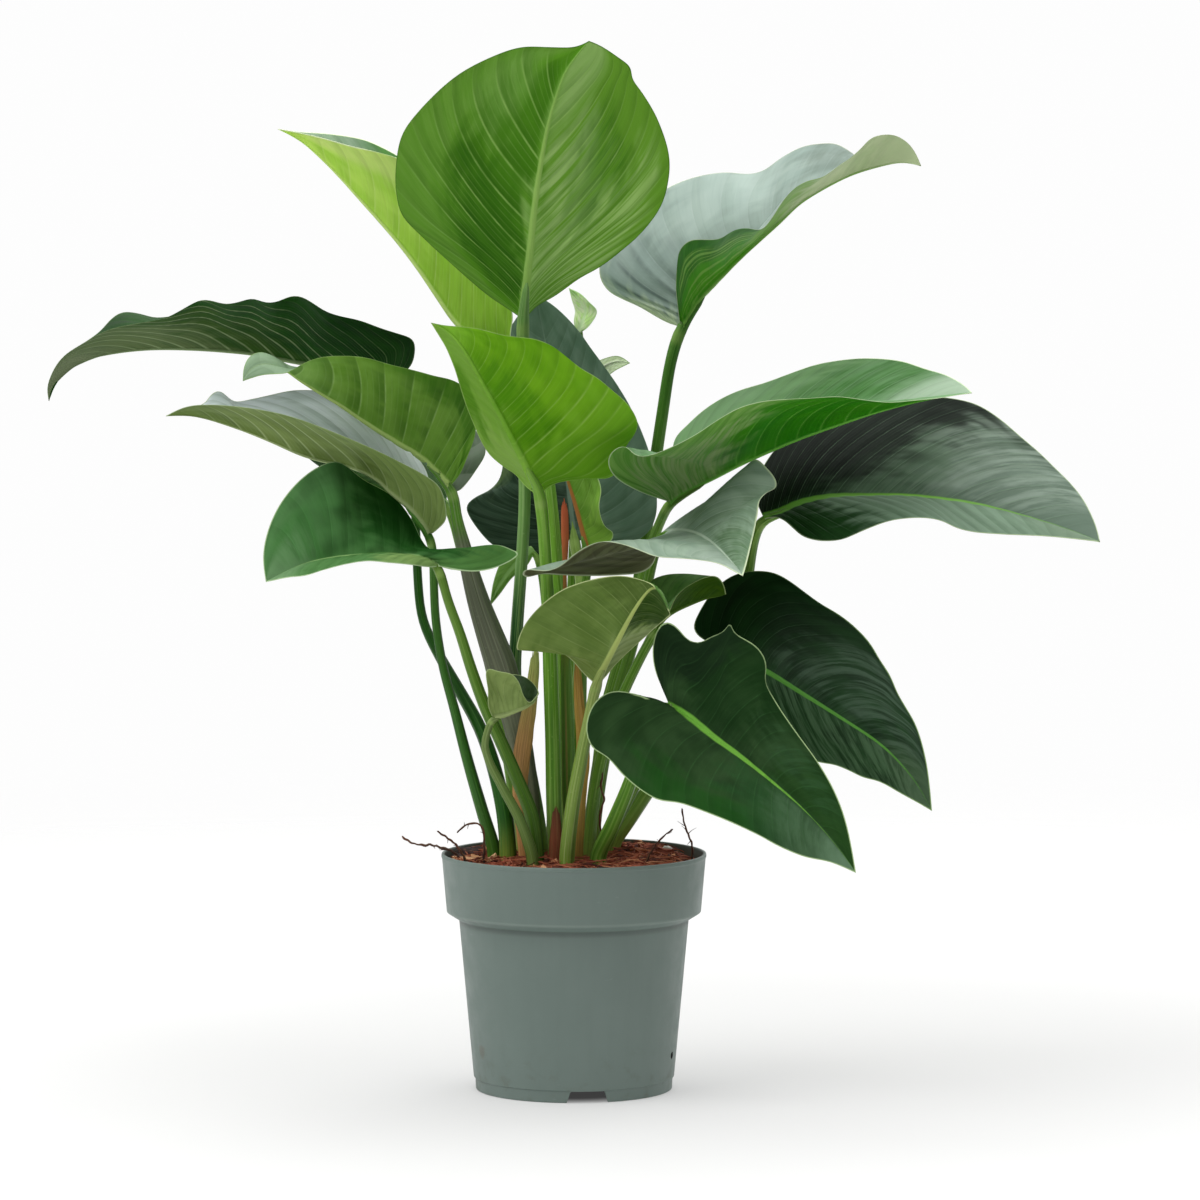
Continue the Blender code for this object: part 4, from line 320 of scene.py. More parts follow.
    "leaf_21_young_lower": dict(u=((160, 178, 132), (180, 194, 156)), l=((174, 194, 144), (194, 210, 176)), vu=(196, 206, 172), vl=(206, 216, 188),
                        m=(130, 160, 96), N=8, rough=0.42, spec=0.16, pleat=0.1, rows=60, uneven=0.2, wavy=0.2),
    "leaf_22_back_low": dict(u=((96, 144, 56), (112, 156, 70)), l=((36, 80, 24), (50, 96, 34)), vu=(130, 170, 96), vl=(90, 132, 70),
                        m=(150, 180, 116), N=9, rough=0.45, spec=0.14, pleat=0.2, rows=60, uneven=0.3, wavy=0.3,
                        wash=(((48, 92, 6), 0.7, "u", -1, 1, 0.74, 1, 0.2),)),
}

STEM_BASE = dict(lines=0.6, low=(158, 184, 86), mid=(94, 140, 36), top=(92, 140, 42), streak=(156, 190, 96))
STEMLOOK = {
    "petiole_01": dict(low=(136, 168, 76), mid=(50, 104, 44), top=(118, 164, 84), streak=(158, 194, 118), turn=(0.44, 0.60), foot=0.2),
    "petiole_02": dict(low=(176, 206, 104), mid=(110, 164, 44), top=(136, 186, 68), streak=(182, 222, 122)),
    "petiole_03": dict(mid=(84, 128, 34), top=(74, 126, 42), streak=(122, 166, 78)),
    "petiole_04": dict(low=(150, 170, 66), mid=(30, 86, 12), top=(46, 100, 28), streak=(64, 118, 38), foot=0.12),
    "petiole_05": dict(low=(126, 134, 92), mid=(106, 111, 92), top=(100, 150, 52), streak=(144, 150, 120), flat=0.5, facing=(0.0, -1.0, 0.0),
                       turn=(0.84, 0.93)),
    "petiole_06": dict(low=(66, 110, 28), mid=(46, 98, 24), top=(78, 130, 46), streak=(88, 140, 56)),
    "petiole_07": dict(low=(70, 106, 26), mid=(76, 118, 26), top=(94, 132, 46), streak=(122, 154, 70)),
    "petiole_08": dict(low=(128, 160, 60), mid=(92, 146, 28), top=(116, 168, 48), streak=(158, 196, 98)),
    "petiole_13": dict(low=(116, 150, 52), mid=(120, 150, 60), top=(152, 172, 92), streak=(176, 192, 124)),
    "petiole_14": dict(low=(92, 140, 40), mid=(84, 134, 34), top=(90, 146, 44), streak=(140, 180, 84)),
    "petiole_16": dict(low=(96, 120, 48), mid=(98, 124, 56), top=(112, 134, 72), streak=(130, 150, 92)),
    "petiole_17": dict(mid=(116, 150, 56), top=(130, 160, 74), streak=(164, 188, 112)),
}
SHEATHLOOK = {
    "sheath_center": dict(c=((206, 146, 88), (198, 150, 92), (168, 186, 100)), wrap=1.4, tear=0.03),
    "sheath_red": dict(c=((136, 76, 46), (132, 70, 42), (104, 60, 36)), wrap=1.4),
    "sheath_orange": dict(c=((168, 138, 64), (180, 148, 66), (160, 126, 54)), wrap=1.2),
    "sheath_upper": dict(c=((100, 142, 48), (92, 136, 44), (206, 100, 62)), wrap=1.5, tear=0.012, round=0.03, club=1.3),
}
ROOTLOOK = {
    "root_left_curl": ((112, 72, 54), (92, 66, 56), (70, 52, 46)),
    "root_centre_dry": ((80, 46, 30), (104, 54, 34), (66, 34, 24)),
}


# ---- geometry ------------------------------------------------------------------
def unit(v):
    return v / np.maximum(np.linalg.norm(v, axis=-1, keepdims=True), 1e-12)


def soil_top(x, y):
    r = np.hypot(x, y)
    a = np.arctan2(y, x)
    base = SOIL_Z - (SOIL_Z - SOIL_EDGE_Z) * (r / 91.6) ** 2
    return base + np.minimum(1.0, r / 30.0) * (0.9 * np.sin(3 * a + 0.05 * r) + 0.6 * np.sin(7 * a + 0.11 * r))


def place(p):
    if p[0] == "w":
        return np.array(p[1:], float) * MM
    if p[0] == "s":
        return np.array([p[1], p[2], soil_top(p[1], p[2]) + 0.9]) * MM
    return at(*p)


def curve(points, fractions, sub=16):
    P = np.array([place(p) for p in points])
    seg = np.linalg.norm(np.diff(P, axis=0), axis=1)
    k = np.concatenate([[0], np.cumsum(np.sqrt(np.maximum(seg, 1e-6)))])
    m = np.zeros_like(P)
    for i in range(1, len(P) - 1):
        d0 = (P[i] - P[i - 1]) / (k[i] - k[i - 1])
        d1 = (P[i + 1] - P[i]) / (k[i + 1] - k[i])
        w0, w1 = k[i + 1] - k[i], k[i] - k[i - 1]
        m[i] = (d0 * w0 + d1 * w1) / (w0 + w1)
    m[0] = 1.5 * (P[1] - P[0]) / (k[1] - k[0]) - 0.5 * m[1]
    m[-1] = 1.5 * (P[-1] - P[-2]) / (k[-1] - k[-2]) - 0.5 * m[-2]
    fine = []
    for i in range(len(P) - 1):
        h = k[i + 1] - k[i]
        for j in range(sub):
            s = j / sub
            fine.append((2 * s**3 - 3 * s**2 + 1) * P[i] + (s**3 - 2 * s**2 + s) * h * m[i]
                        + (-2 * s**3 + 3 * s**2) * P[i + 1] + (s**3 - s**2) * h * m[i + 1])
    fine.append(P[-1])
    fine = np.array(fine)
    L = np.concatenate([[0], np.cumsum(np.linalg.norm(np.diff(fine, axis=0), axis=1))])
    r = np.asarray(fractions, float) * L[-1]
    return np.stack([np.interp(r, L, fine[:, c]) for c in range(3)], axis=1), L[-1]


def soften(P, passes):
    """Evens out a curve's points, its ends held."""
    P = P.copy()
    for _ in range(passes):
        P[1:-1] = 0.25 * P[:-2] + 0.5 * P[1:-1] + 0.25 * P[2:]
    return P


def waves(rng, n, lo, hi):
    """A smooth wandering function of one number, about -1 to 1."""
    f, p, a = rng.uniform(lo, hi, n), rng.uniform(0, 2 * pi, n), rng.uniform(0.5, 1.0, n)
    return lambda x: sum(a[i] * np.sin(f[i] * x + p[i]) for i in range(n)) / a.sum() * 1.4


def away(P, C):
    """Distance from each point of P to the polyline C."""
    best = np.full(len(P), 1e9)
    for p, q in zip(C[:-1], C[1:]):
        d = q - p
        t = np.clip(((P - p) @ d) / max(d @ d, 1e-14), 0, 1)
        best = np.minimum(best, np.linalg.norm(P - p - t[:, None] * d, axis=1))
    return best


def ramp(x, a, b):
    t = np.clip((x - a) / (b - a), 0, 1)
    return t * t * (3 - 2 * t)


def volume(V, F):
    tri = []
    for f in F:
        for k in range(1, len(f) - 1):
            tri.append((f[0], f[k], f[k + 1]))
    T = np.array(tri)
    return float(np.einsum("ij,ij->i", V[T[:, 0]], np.cross(V[T[:, 1]], V[T[:, 2]])).sum())


def piece(name, V, F, mats, attrs=None, face_mat=None, smooth=True, sharp=None, check=True):
    V = np.asarray(V, float)
    F = [tuple(int(i) for i in f) for f in F]
    if check and volume(V, F) < 0:
        F = [tuple(reversed(f)) for f in F]
    me = bpy.data.meshes.new(name)
    me.from_pydata(V.tolist(), [], F)
    me.update()
    for m in mats if isinstance(mats, (list, tuple)) else [mats]:
        me.materials.append(m)
    if face_mat is not None:
        me.polygons.foreach_set("material_index", np.asarray(face_mat, np.int32))
    for k, a in (attrs or {}).items():
        a = np.asarray(a, np.float32)
        if a.ndim == 2:
            me.attributes.new(k, "FLOAT_VECTOR", "POINT").data.foreach_set("vector", a.ravel())
        else:
            me.attributes.new(k, "FLOAT", "POINT").data.foreach_set("value", a)
    if smooth:
        me.shade_smooth()
    if sharp:
        me.set_sharp_from_angle(angle=radians(sharp))
    ob = bpy.data.objects.new(name, me)
    bpy.context.scene.collection.objects.link(ob)
    return ob


def stand_for(ob, node):
    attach(ob, "root")
    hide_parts(node)
    return ob


# ---- materials -----------------------------------------------------------------
def rgb(r, g, b):
    """Linear colour from display values 0 to 255."""
    return tuple((c / 255 / 12.92 if c / 255 <= 0.04045 else ((c / 255 + 0.055) / 1.055) ** 2.4) for c in (r, g, b)) + (1.0,)


class Nodes:
    """Short names for building a material's nodes."""

    def __init__(self, name):
        self.mat = bpy.data.materials.new(name)
        self.mat.use_nodes = True
        self.t = self.mat.node_tree
        self.bsdf = self.t.nodes["Principled BSDF"]

    def put(self, socket, value):
        if isinstance(value, bpy.types.NodeSocket):
            self.t.links.new(value, socket)
        else:
            socket.default_value = value

    def attr(self, name, what="Fac"):
        n = self.t.nodes.new("ShaderNodeAttribute")
        n.attribute_type = "GEOMETRY"
        n.attribute_name = name
        return n.outputs[what]

    def pos(self):
        return self.t.nodes.new("ShaderNodeTexCoord").outputs["Object"]

    def math(self, op, a, b=0.0, c=0.0, clamp=False):
        n = self.t.nodes.new("ShaderNodeMath")
        n.operation = op
        n.use_clamp = clamp
        for s, v in zip(n.inputs, (a, b, c)):
            self.put(s, v)
        return n.outputs[0]

    def vec(self, x, y, z):
        n = self.t.nodes.new("ShaderNodeCombineXYZ")
        for s, v in zip(n.inputs, (x, y, z)):
            self.put(s, v)
        return n.outputs[0]

    def noise(self, vector, scale, detail=2.0, rough=0.5, distortion=0.0):
        n = self.t.nodes.new("ShaderNodeTexNoise")
        self.put(n.inputs["Vector"], vector)
        n.inputs["Scale"].default_value = scale
        n.inputs["Detail"].default_value = detail
        n.inputs["Roughness"].default_value = rough
        n.inputs["Distortion"].default_value = distortion
        return n.outputs["Fac"]

    def range(self, x, a, b, lo=0.0, hi=1.0, smooth=True):
        n = self.t.nodes.new("ShaderNodeMapRange")
        n.interpolation_type = "SMOOTHSTEP" if smooth else "LINEAR"
        for s, v in zip((n.inputs["Value"], n.inputs["From Min"], n.inputs["From Max"], n.inputs["To Min"], n.inputs["To Max"]),
                        (x, a, b, lo, hi)):
            self.put(s, v)
        return n.outputs["Result"]

    def mix(self, f, a, b, blend="MIX"):
        n = self.t.nodes.new("ShaderNodeMix")
        n.data_type = "RGBA"
        n.blend_type = blend
        self.put(n.inputs[0], f)
        self.put(n.inputs[6], a)
        self.put(n.inputs[7], b)
        return n.outputs[2]

    def bump(self, height, strength, distance):
        n = self.t.nodes.new("ShaderNodeBump")
        n.inputs["Strength"].default_value = strength
        n.inputs["Distance"].default_value = distance
        self.put(n.inputs["Height"], height)
        self.put(self.bsdf.inputs["Normal"], n.outputs[0])

    def done(self, color, rough, **fixed):
        self.put(self.bsdf.inputs["Base Color"], color)
        self.put(self.bsdf.inputs["Roughness"], rough)
        for k, v in fixed.items():
            self.bsdf.inputs[k.replace("_", " ")].default_value = v
        return self.mat


def leaf_material(name, k):
    """Blade: mottled tissue with streaks along the side veins, soft zones of another tone
    and of painted sheen and shade, pale veins, midrib and margin. side is 0 on the upper face, 1 on the lower."""
    n = Nodes(name)
    side, vein, vn, s, edge, rib, half, r = (n.attr(a) for a in ("side", "vein", "order", "across", "edge", "rib", "half", "along"))
    (u1, u2), (l1, l2) = k["u"], k["l"]
    calm = n.range(r, 0.84, 0.96, 1.0, 0.06)      # everything closes up at the tip
    qa, qb = k.get("quiet", (1.0, 1.0))           # how strongly each half shows its veins
    half_way = n.range(half, -0.03, 0.03, qa, qb)

    def drift(along, across, scale, detail=2.0, rough=0.5, z=3.0):
        return n.noise(n.vec(n.math("MULTIPLY", vein, along), n.math("MULTIPLY", half, across), n.math("MULTIPLY", side, z)), scale, detail, rough)

    def still(x):
        return n.math("ADD", n.math("MULTIPLY", n.math("SUBTRACT", x, 0.5), calm), 0.5)

    broad = drift(5.0, 2.2, 1.25, 2.0, 0.5, 5.0)
    streak = still(drift(30.0, 1.5, 1.0, 3.0, 0.6, 4.0))
    fine = still(drift(95.0, 2.4, 1.0, 2.0, 0.5, 2.0))
    patch = n.math("SUBTRACT", drift(6.0, 5.0, 1.4, 2.0, 0.5, 7.0), 0.5)
    patch = n.math("ADD", n.math("MULTIPLY", patch, n.range(r, 0.58, 0.84, 1.0, 0.0)), 0.5)
    fan = drift(2.2, k.get("rays", 17.0), 1.0, 2.0, 0.5, 9.0)

    def line(x, width):
        f = n.math("ABSOLUTE", n.math("SUBTRACT", n.math("FRACT", x), 0.5))
        return n.range(f, 0.5 - width, 0.5)

    major = line(vn, k.get("w", 0.055))
    minor = line(n.math("MULTIPLY", vn, 4.0), 0.15)
    fade = n.math("MULTIPLY", n.range(s, 0.0, 0.05, 0.3, 1.0), n.range(s, 0.5, 1.0, 1.0, 0.15))
    seen = n.math("MULTIPLY", n.math("MULTIPLY", fade, n.math("MULTIPLY", calm, half_way)), n.range(patch, 0.36, 0.62, 0.45, 1.0))
    wide_line = n.math("MULTIPLY", line(vn, 0.13), n.math("MULTIPLY", calm, n.range(patch, 0.3, 0.6, 0.5, 1.0)))
    major = n.math("MULTIPLY", major, seen)
    minor = n.math("MULTIPLY", minor, seen)
    trough = n.range(n.math("ABSOLUTE", n.math("SUBTRACT", n.math("FRACT", n.math("ADD", vn, 0.5)), 0.5)), 0.5, 0.1)

    def face(m, which):
        return n.math("MULTIPLY", m, side if which == "l" else n.math("SUBTRACT", 1.0, side)) if which in "ul" else m

    c1 = n.mix(side, rgb(*u1), rgb(*l1))
    c2 = n.mix(side, rgb(*u2), rgb(*l2))
    body = n.mix(n.range(broad, 0.36, 0.64), c1, c2)
    body = n.mix(n.math("MULTIPLY", n.range(streak, 0.42, 0.7), k.get("streak", 0.35)), body, c2)
    # soft zones of another tone, of painted sheen and of painted shade: (colour, amount, face,
    # from half, to half, from length, to length, streaks: up to 1 along the veins, above 1 in rays
    # from the base, "v" on the veins alone)
    for col, amt, which, h0, h1, r0, r1, st in k.get("wash", ()):
        q = n.math("ADD", vein, n.range(patch, 0.3, 0.7, -0.05, 0.05))
        g = n.math("ADD", half, n.range(patch, 0.3, 0.7, 0.06, -0.06))
        m = amt
        if h0 > -1:
            m = n.math("MULTIPLY", n.range(g, h0 - 0.12, h0 + 0.12), m)
        if h1 < 1:
            m = n.math("MULTIPLY", n.range(g, h1 + 0.12, h1 - 0.12), m)
        if r0 > 0:
            m = n.math("MULTIPLY", n.range(q, r0 - 0.08, r0 + 0.08), m)
        if r1 < 1:
            m = n.math("MULTIPLY", n.range(q, r1 + 0.08, r1 - 0.08), m)
        if st == "v":
            m = n.math("MULTIPLY", wide_line, m)
        elif st == "p":
            m = n.math("MULTIPLY", n.math("MULTIPLY", line(n.math("MULTIPLY", vein, k["fold"][2]), 0.26), n.range(patch, 0.3, 0.6, 0.4, 1.0)), m)
        elif st > 1:
            m = n.math("MULTIPLY", n.range(n.math("ADD", n.math("MULTIPLY", fan, 0.85), n.math("MULTIPLY", fine, 0.15)), 0.46, 0.60, 2.0 - st, 1.0), m)
        elif st > 0:
            m = n.math("MULTIPLY", n.range(n.math("ADD", n.math("MULTIPLY", streak, 0.75), n.math("MULTIPLY", fine, 0.25)), 0.40, 0.60, 1.0 - st, 1.0), m)
        elif st < 0:
            band = n.math("ADD", n.math("MULTIPLY", trough, 0.5), n.math("MULTIPLY", streak, 0.9))
            m = n.math("MULTIPLY", n.range(band, 0.72, 0.42, 1.0 + st, 1.0), m)
        body = n.mix(face(m, which), body, rgb(*col))
    # each vein throws a soft shade tipward of it, which lightens to the next
    tooth = n.math("MULTIPLY", n.range(n.math("FRACT", vn), 0.0, 0.9, 1.0, 0.0), n.math("MULTIPLY", calm, n.range(s, 0.0, 0.12)))
    tooth = n.math("MULTIPLY", n.math("MULTIPLY", tooth, half_way), n.range(patch, 0.3, 0.62, 0.5, 1.0))
    body = n.mix(n.math("MULTIPLY", tooth, k.get("saw", 0.18)), body, (0.22, 0.34, 0.18, 1.0), "MULTIPLY")
    # painted shade: the body a little darker along the veins, where the upper face is grooved
    body = n.mix(n.math("MULTIPLY", trough, k.get("trough", 0.05)), body, (0.0, 0.01, 0.0, 1.0))
    body = n.mix(n.math("MULTIPLY", n.range(fine, 0.45, 0.75), 0.08), body, (0.0, 0.01, 0.0, 1.0))
    vcol = n.mix(side, rgb(*k["vu"]), rgb(*k["vl"]))
    vamt = n.range(side, 0.0, 1.0, k.get("vus", 0.35), k.get("vls", 0.5), smooth=False)
    body = n.mix(n.math("MULTIPLY", minor, n.math("MULTIPLY", vamt, 0.30)), body, vcol)
    body = n.mix(n.math("MULTIPLY", major, vamt), body, vcol)
    rcol = n.mix(side, rgb(*k.get("ru", k["vu"])), rgb(*k.get("rl", k["vl"])))
    wide = n.range(r, 0.0, k.get("re", 1.0), k.get("rw", 2.6), 0.5, smooth=False)
    ribm = n.range(n.math("DIVIDE", rib, wide), 1.15, 0.6)
    ribm = n.math("MULTIPLY", ribm, n.range(side, 0.0, 1.0, k.get("rus", 0.9), k.get("rls", 0.9), smooth=False))
    ribm = n.math("MULTIPLY", ribm, n.range(r, k.get("rf", 0.75), 1.0, 1.0, 0.25))
    body = n.mix(ribm, body, rcol)
    margin = n.math("MULTIPLY", n.range(edge, k.get("mw", 1.0), 0.25), k.get("ms", 0.9))
    body = n.mix(margin, body, rgb(*k["m"]))
    grain = n.noise(n.pos(), 330.0, 2.0)
    high = n.math("ADD", n.math("MULTIPLY", major, n.range(side, 0.0, 1.0, -0.35, 0.8, smooth=False)),
                  n.math("MULTIPLY", minor, n.range(side, 0.0, 1.0, -0.15, 0.25, smooth=False)))
    high = n.math("ADD", high, n.math("MULTIPLY", streak, 0.35))
    high = n.math("ADD", high, n.math("MULTIPLY", grain, 0.04))
    high = n.math("MULTIPLY", high, n.range(r, 0.72, 0.93, 1.0, 0.0))
    n.bump(high, k.get("relief", 0.35), 0.0004)
    ro = k.get("rough", 0.40)
    rough = n.range(side, 0.0, 1.0, ro, min(0.9, ro + 0.10), smooth=False)
    rough = n.math("ADD", rough, n.range(streak, 0.3, 0.7, -0.05, 0.07))
    rough = n.math("ADD", rough, n.math("MULTIPLY", margin, 0.1))
    return n.done(body, rough, Specular_IOR_Level=k.get("spec", 0.35), Coat_Weight=k.get("coat", 0.0), Coat_Roughness=0.25)


def stem_material(name, low, mid, top, streak, rough=0.38, foot=0.28, turn=(0.55, 0.97), lines=0.7, shade=0.45):
    """Petiole: pale at the foot, streaked along its length."""
    n = Nodes(name)
    up = n.attr("up")
    co = n.attr("stem", "Vector")
    s1 = n.noise(co, 1.5, 4.0, 0.6)
    s2 = n.noise(co, 0.9, 2.0)
    body = n.mix(n.range(up, 0.0, foot), rgb(*low), rgb(*mid))
    body = n.mix(n.range(up, *turn), body, rgb(*top))
    body = n.mix(n.math("MULTIPLY", n.range(s1, 0.46, 0.64), lines), body, rgb(*streak))
    body = n.mix(n.math("MULTIPLY", n.range(s2, 0.46, 0.68), shade), body, (0.30, 0.42, 0.24, 1.0), "MULTIPLY")
    knee = n.range(n.math("ABSOLUTE", n.math("SUBTRACT", up, 0.985)), 0.02, 0.004)
    body = n.mix(n.math("MULTIPLY", knee, 0.5), body, rgb(150, 180, 95))
    spots = n.noise(n.pos(), 420.0, 2.0)
    body = n.mix(n.math("MULTIPLY", n.range(spots, 0.62, 0.75), 0.25), body, rgb(*streak))
    way = n.t.nodes.new("ShaderNodeSeparateXYZ")        # the side turned to the left is the sunnier, paler one
    n.put(way.inputs[0], n.t.nodes.new("ShaderNodeNewGeometry").outputs["Normal"])
    body = n.mix(n.range(way.outputs[0], 0.1, 0.9, 0.0, 0.42), body, (0.22, 0.32, 0.16, 1.0), "MULTIPLY")
    n.bump(n.math("ADD", n.math("MULTIPLY", s1, 0.8), n.math("MULTIPLY", spots, 0.15)), 0.5, 0.0006)
    return n.done(body, n.range(s1, 0.3, 0.7, rough - 0.05, rough + 0.1), Specular_IOR_Level=0.25)


def dry_material(name, foot, body, tip):
    """Dry papery sheath or root: fibres along its length."""
    n = Nodes(name)
    up = n.attr("up")
    co = n.attr("stem", "Vector")
    f = n.noise(co, 3.2, 4.0, 0.65)
    g = n.noise(co, 0.8, 2.0)
    c = n.mix(n.range(up, 0.0, 0.35), rgb(*foot), rgb(*body))
    c = n.mix(n.range(up, 0.5, 1.0), c, rgb(*tip))
    c = n.mix(n.math("MULTIPLY", n.range(f, 0.42, 0.68), 0.42), c, (0.03, 0.012, 0.006, 1.0))
    c = n.mix(n.math("MULTIPLY", n.range(g, 0.55, 0.75), 0.35), c, rgb(205, 160, 105))
    n.bump(f, 0.7, 0.0008)
    return n.done(c, n.range(f, 0.3, 0.7, 0.6, 0.85), Specular_IOR_Level=0.3)


# ---- leaf blades -----------------------------------------------------------------
ACROSS = np.array([0, .007, .015, .025, .038, .054, .074, .098, .128, .165, .21, .26, .315, .37, .43, .49, .55,
                   .61, .67, .725, .78, .83, .875, .91, .94, .962, .979, .991, 1.0])
BLADE = {}      # midrib line, its upper normals and fractions, for the petioles


def leaf_piece(index, name):
    d, k = LEAF[name], LOOK[name]
    rng = np.random.RandomState(100 + index)
    rows = k.get("rows", 120)
    s = ACROSS if k.get("cols", 1) == 1 else ACROSS[::k["cols"]]
    if s[-1] != 1.0:
        s = np.append(s, 1.0)
    cols = len(s) - 1
    r = np.linspace(0, 1, rows + 1)
    tm = r ** d.get("a", 1.45)
    M = soften(curve(d["M"], tm)[0], 4)
    A = soften(curve(d["A"], r)[0], 3)
    B = soften(curve(d["B"], r)[0], 3)
    T = unit(np.gradient(M, axis=0))
    swell = np.sin(pi * r ** 0.8) ** 0.8
    swell[-1] = 0.0
    w = 2 * cols + 1
    G = np.zeros((rows + 1, w, 3))
    half = np.zeros((rows + 1, w))
    for sd, E in ((-1, A), (1, B)):
        W = E - M
        n = unit(np.cross(T, W)) * sd * d["up"]
        for j in range(cols + 1):
            lift = d.get("bulge", 4.0) * MM * swell * 4 * s[j] * (1 - s[j]) * (1 - 0.35 * s[j])
            G[:, cols + sd * j] = M + s[j] * W + n * lift[:, None]
            half[:, cols + sd * j] = sd * s[j]
    S = np.abs(half)
    R = np.repeat(r[:, None], w, axis=1)
    # side veins leave the midrib and sweep forward
    sw = k.get("sweep", (0.27, 0.27))
    K = np.where(half < 0, sw[0], sw[1]) * S ** 1.08
    disc = np.sqrt(np.maximum(0.0, 1 - 4 * K * (R - K)))
    vein = np.where(K < 1e-3, R, (1 - disc) / np.maximum(2 * K, 1e-6))
    width = np.linalg.norm(np.where((half < 0)[..., None], A[:, None], B[:, None]) - M[:, None], axis=2)
    scale = np.minimum(1.0, width / 0.05)

    def normals(G):
        N = np.cross(np.gradient(G, axis=0), np.gradient(G, axis=1))
        for _ in range(2):
            N[1:-1] = 0.25 * N[:-2] + 0.5 * N[1:-1] + 0.25 * N[2:]
        N = unit(N)
        N[-1, :] = unit(N[-2].mean(axis=0))[None, :]
        return N * d["up"]

    N = normals(G)
    # relief: shallow pleats along the veins, a wandering surface, a wavy margin
    p1, p2 = waves(rng, 4, 3, 9), waves(rng, 4, 4, 12)
    vn = k.get("N", 12.0) * vein + 0.30 * p1(vein * 1.2 + half * 0.4)     # whole numbers lie on the veins
    env = S ** 0.45 * (1 - S) ** 0.6 * 1.5 * ramp(1 - R, 0.0, 0.15)
    lift = -k.get("pleat", 0.35) * np.cos(2 * pi * vn) * env
    if k.get("fold"):
        amt, reach, n_f = k["fold"]        # pleats spreading from the base
        lift = lift + amt * np.cos(2 * pi * n_f * vein + p2(R * 2.0)) * ramp(1 - R / reach, 0.0, 0.6) * ramp(R, 0.0, 0.05) * env * (half > 0)
    m1, m2 = waves(rng, 5, 8, 26), waves(rng, 5, 8, 26)
    edge_wave = np.where(half < 0, m1(R * 1.0), m2(R * 1.0))
    lift = lift + k.get("wavy", 0.7) * edge_wave * S ** 3 * ramp(R, 0.03, 0.2) * ramp(1 - R, 0.0, 0.1)
    lift = lift + k.get("uneven", 0.8) * waves(rng, 5, 3, 8)(R * 2.0 + 0.0) * np.sin(pi * S) * ramp(1 - R, 0, 0.2) \
        * np.where(half < 0, 1.0, -0.7)
    lift = lift * scale
    rib = S * width                       # along the row, near enough to the midrib
    rib = np.minimum(rib, away(G.reshape(-1, 3), M[::4]).reshape(S.shape))
    # where the halves close up like a book, nothing may reach past the bisector
    pa, pb = (unit((E - M) - T * ((E - M) * T).sum(axis=1)[:, None]) for E in (A, B))
    book = np.arccos(np.clip((pa * pb).sum(axis=1), -1, 1))
    room = rib * np.tan(np.minimum(book, 1.6) / 2)[:, None] + ramp(book, 1.2, 1.9)[:, None] * 0.05
    inner = np.where(((pa + pb) * N[:, cols]).sum(axis=1) > 0, 1.0, -1.0)[:, None]     # 1 where the upper face is inside
    lift = np.where(inner > 0, np.minimum(lift, 0.4 * room / MM), np.maximum(lift, -0.4 * room / MM))
    G = G + N * (lift * MM)[..., None]
    N = normals(G)

    R0 = k.get("rib", PET[PETIOLE_OF[name]][1][2] * 0.80)
    Rm = (R0 * (1 - R) ** 1.15 * 0.95 + 0.30) * MM
    ridge = np.sqrt(np.maximum(0.0, Rm ** 2 - rib ** 2)) * 0.95 * (1 - S ** 2) * ramp(1 - R, 0.0, 0.04)
    crown = 0.30 * MM * np.exp(-(rib / (0.45 * Rm)) ** 2) * ramp(1 - R, 0.0, 0.1)
    line = np.abs((vn % 1.0) - 0.5)
    groove = 0.07 * MM * ramp(line, 0.36, 0.5) * ramp(S, 0.02, 0.1) * (1 - S) * scale
    h = (0.30 - 0.17 * S ** 4) * MM
    above, below = h + crown - groove, h + ridge + groove * 0.8
    above = np.where(inner > 0, np.minimum(above, 0.4 * room + 0.01 * MM), above)
    below = np.where(inner < 0, np.minimum(below, 0.4 * room + 0.01 * MM), below)
    top = G + N * above[..., None]
    low = G - N * below[..., None]
    BLADE[name] = (G[:, cols].copy(), N[:, cols].copy(), tm, Rm[:, cols].copy())

    def flat(X):
        return np.concatenate([X[:rows].reshape(-1, *X.shape[2:]), X[rows, cols][None]])

    n1 = rows * w + 1
    V = np.concatenate([flat(top), flat(low)])
    tipv = rows * w
    i, j = np.meshgrid(np.arange(rows - 1), np.arange(w - 1), indexing="ij")
    a = (i * w + j).ravel()
    quads = np.stack([a, a + 1, a + w + 1, a + w], axis=1)
    F = quads.tolist() + (quads[:, ::-1] + n1).tolist()
    last = (rows - 1) * w
    for q in range(w - 1):
        F += [(last + q, last + q + 1, tipv), (n1 + last + q + 1, n1 + last + q, n1 + tipv)]
    rim = [q for q in range(w)] + [q * w + w - 1 for q in range(1, rows)] + [tipv] + [q * w for q in range(rows - 1, 0, -1)]
    for q in range(len(rim)):
        a, b = rim[q], rim[(q + 1) % len(rim)]
        F.append((a, a + n1, b + n1, b))
    outline = np.concatenate([A[::2], B[::-2]])
    edge = away(flat(G), A[::2])
    edge = np.minimum(edge, away(flat(G), B[::2])) / MM
    two = lambda X: np.concatenate([flat(X), flat(X)])
    attrs = dict(side=np.concatenate([np.zeros(n1), np.ones(n1)]), vein=two(vein), order=two(vn), across=two(S), half=two(half),
                 along=two(R), rib=two(rib / MM), edge=np.concatenate([edge, edge]))
    ob = piece(name + "_blade", V, F, leaf_material(name + "_look", k), attrs)
    stand_for(ob, name)
    return ob


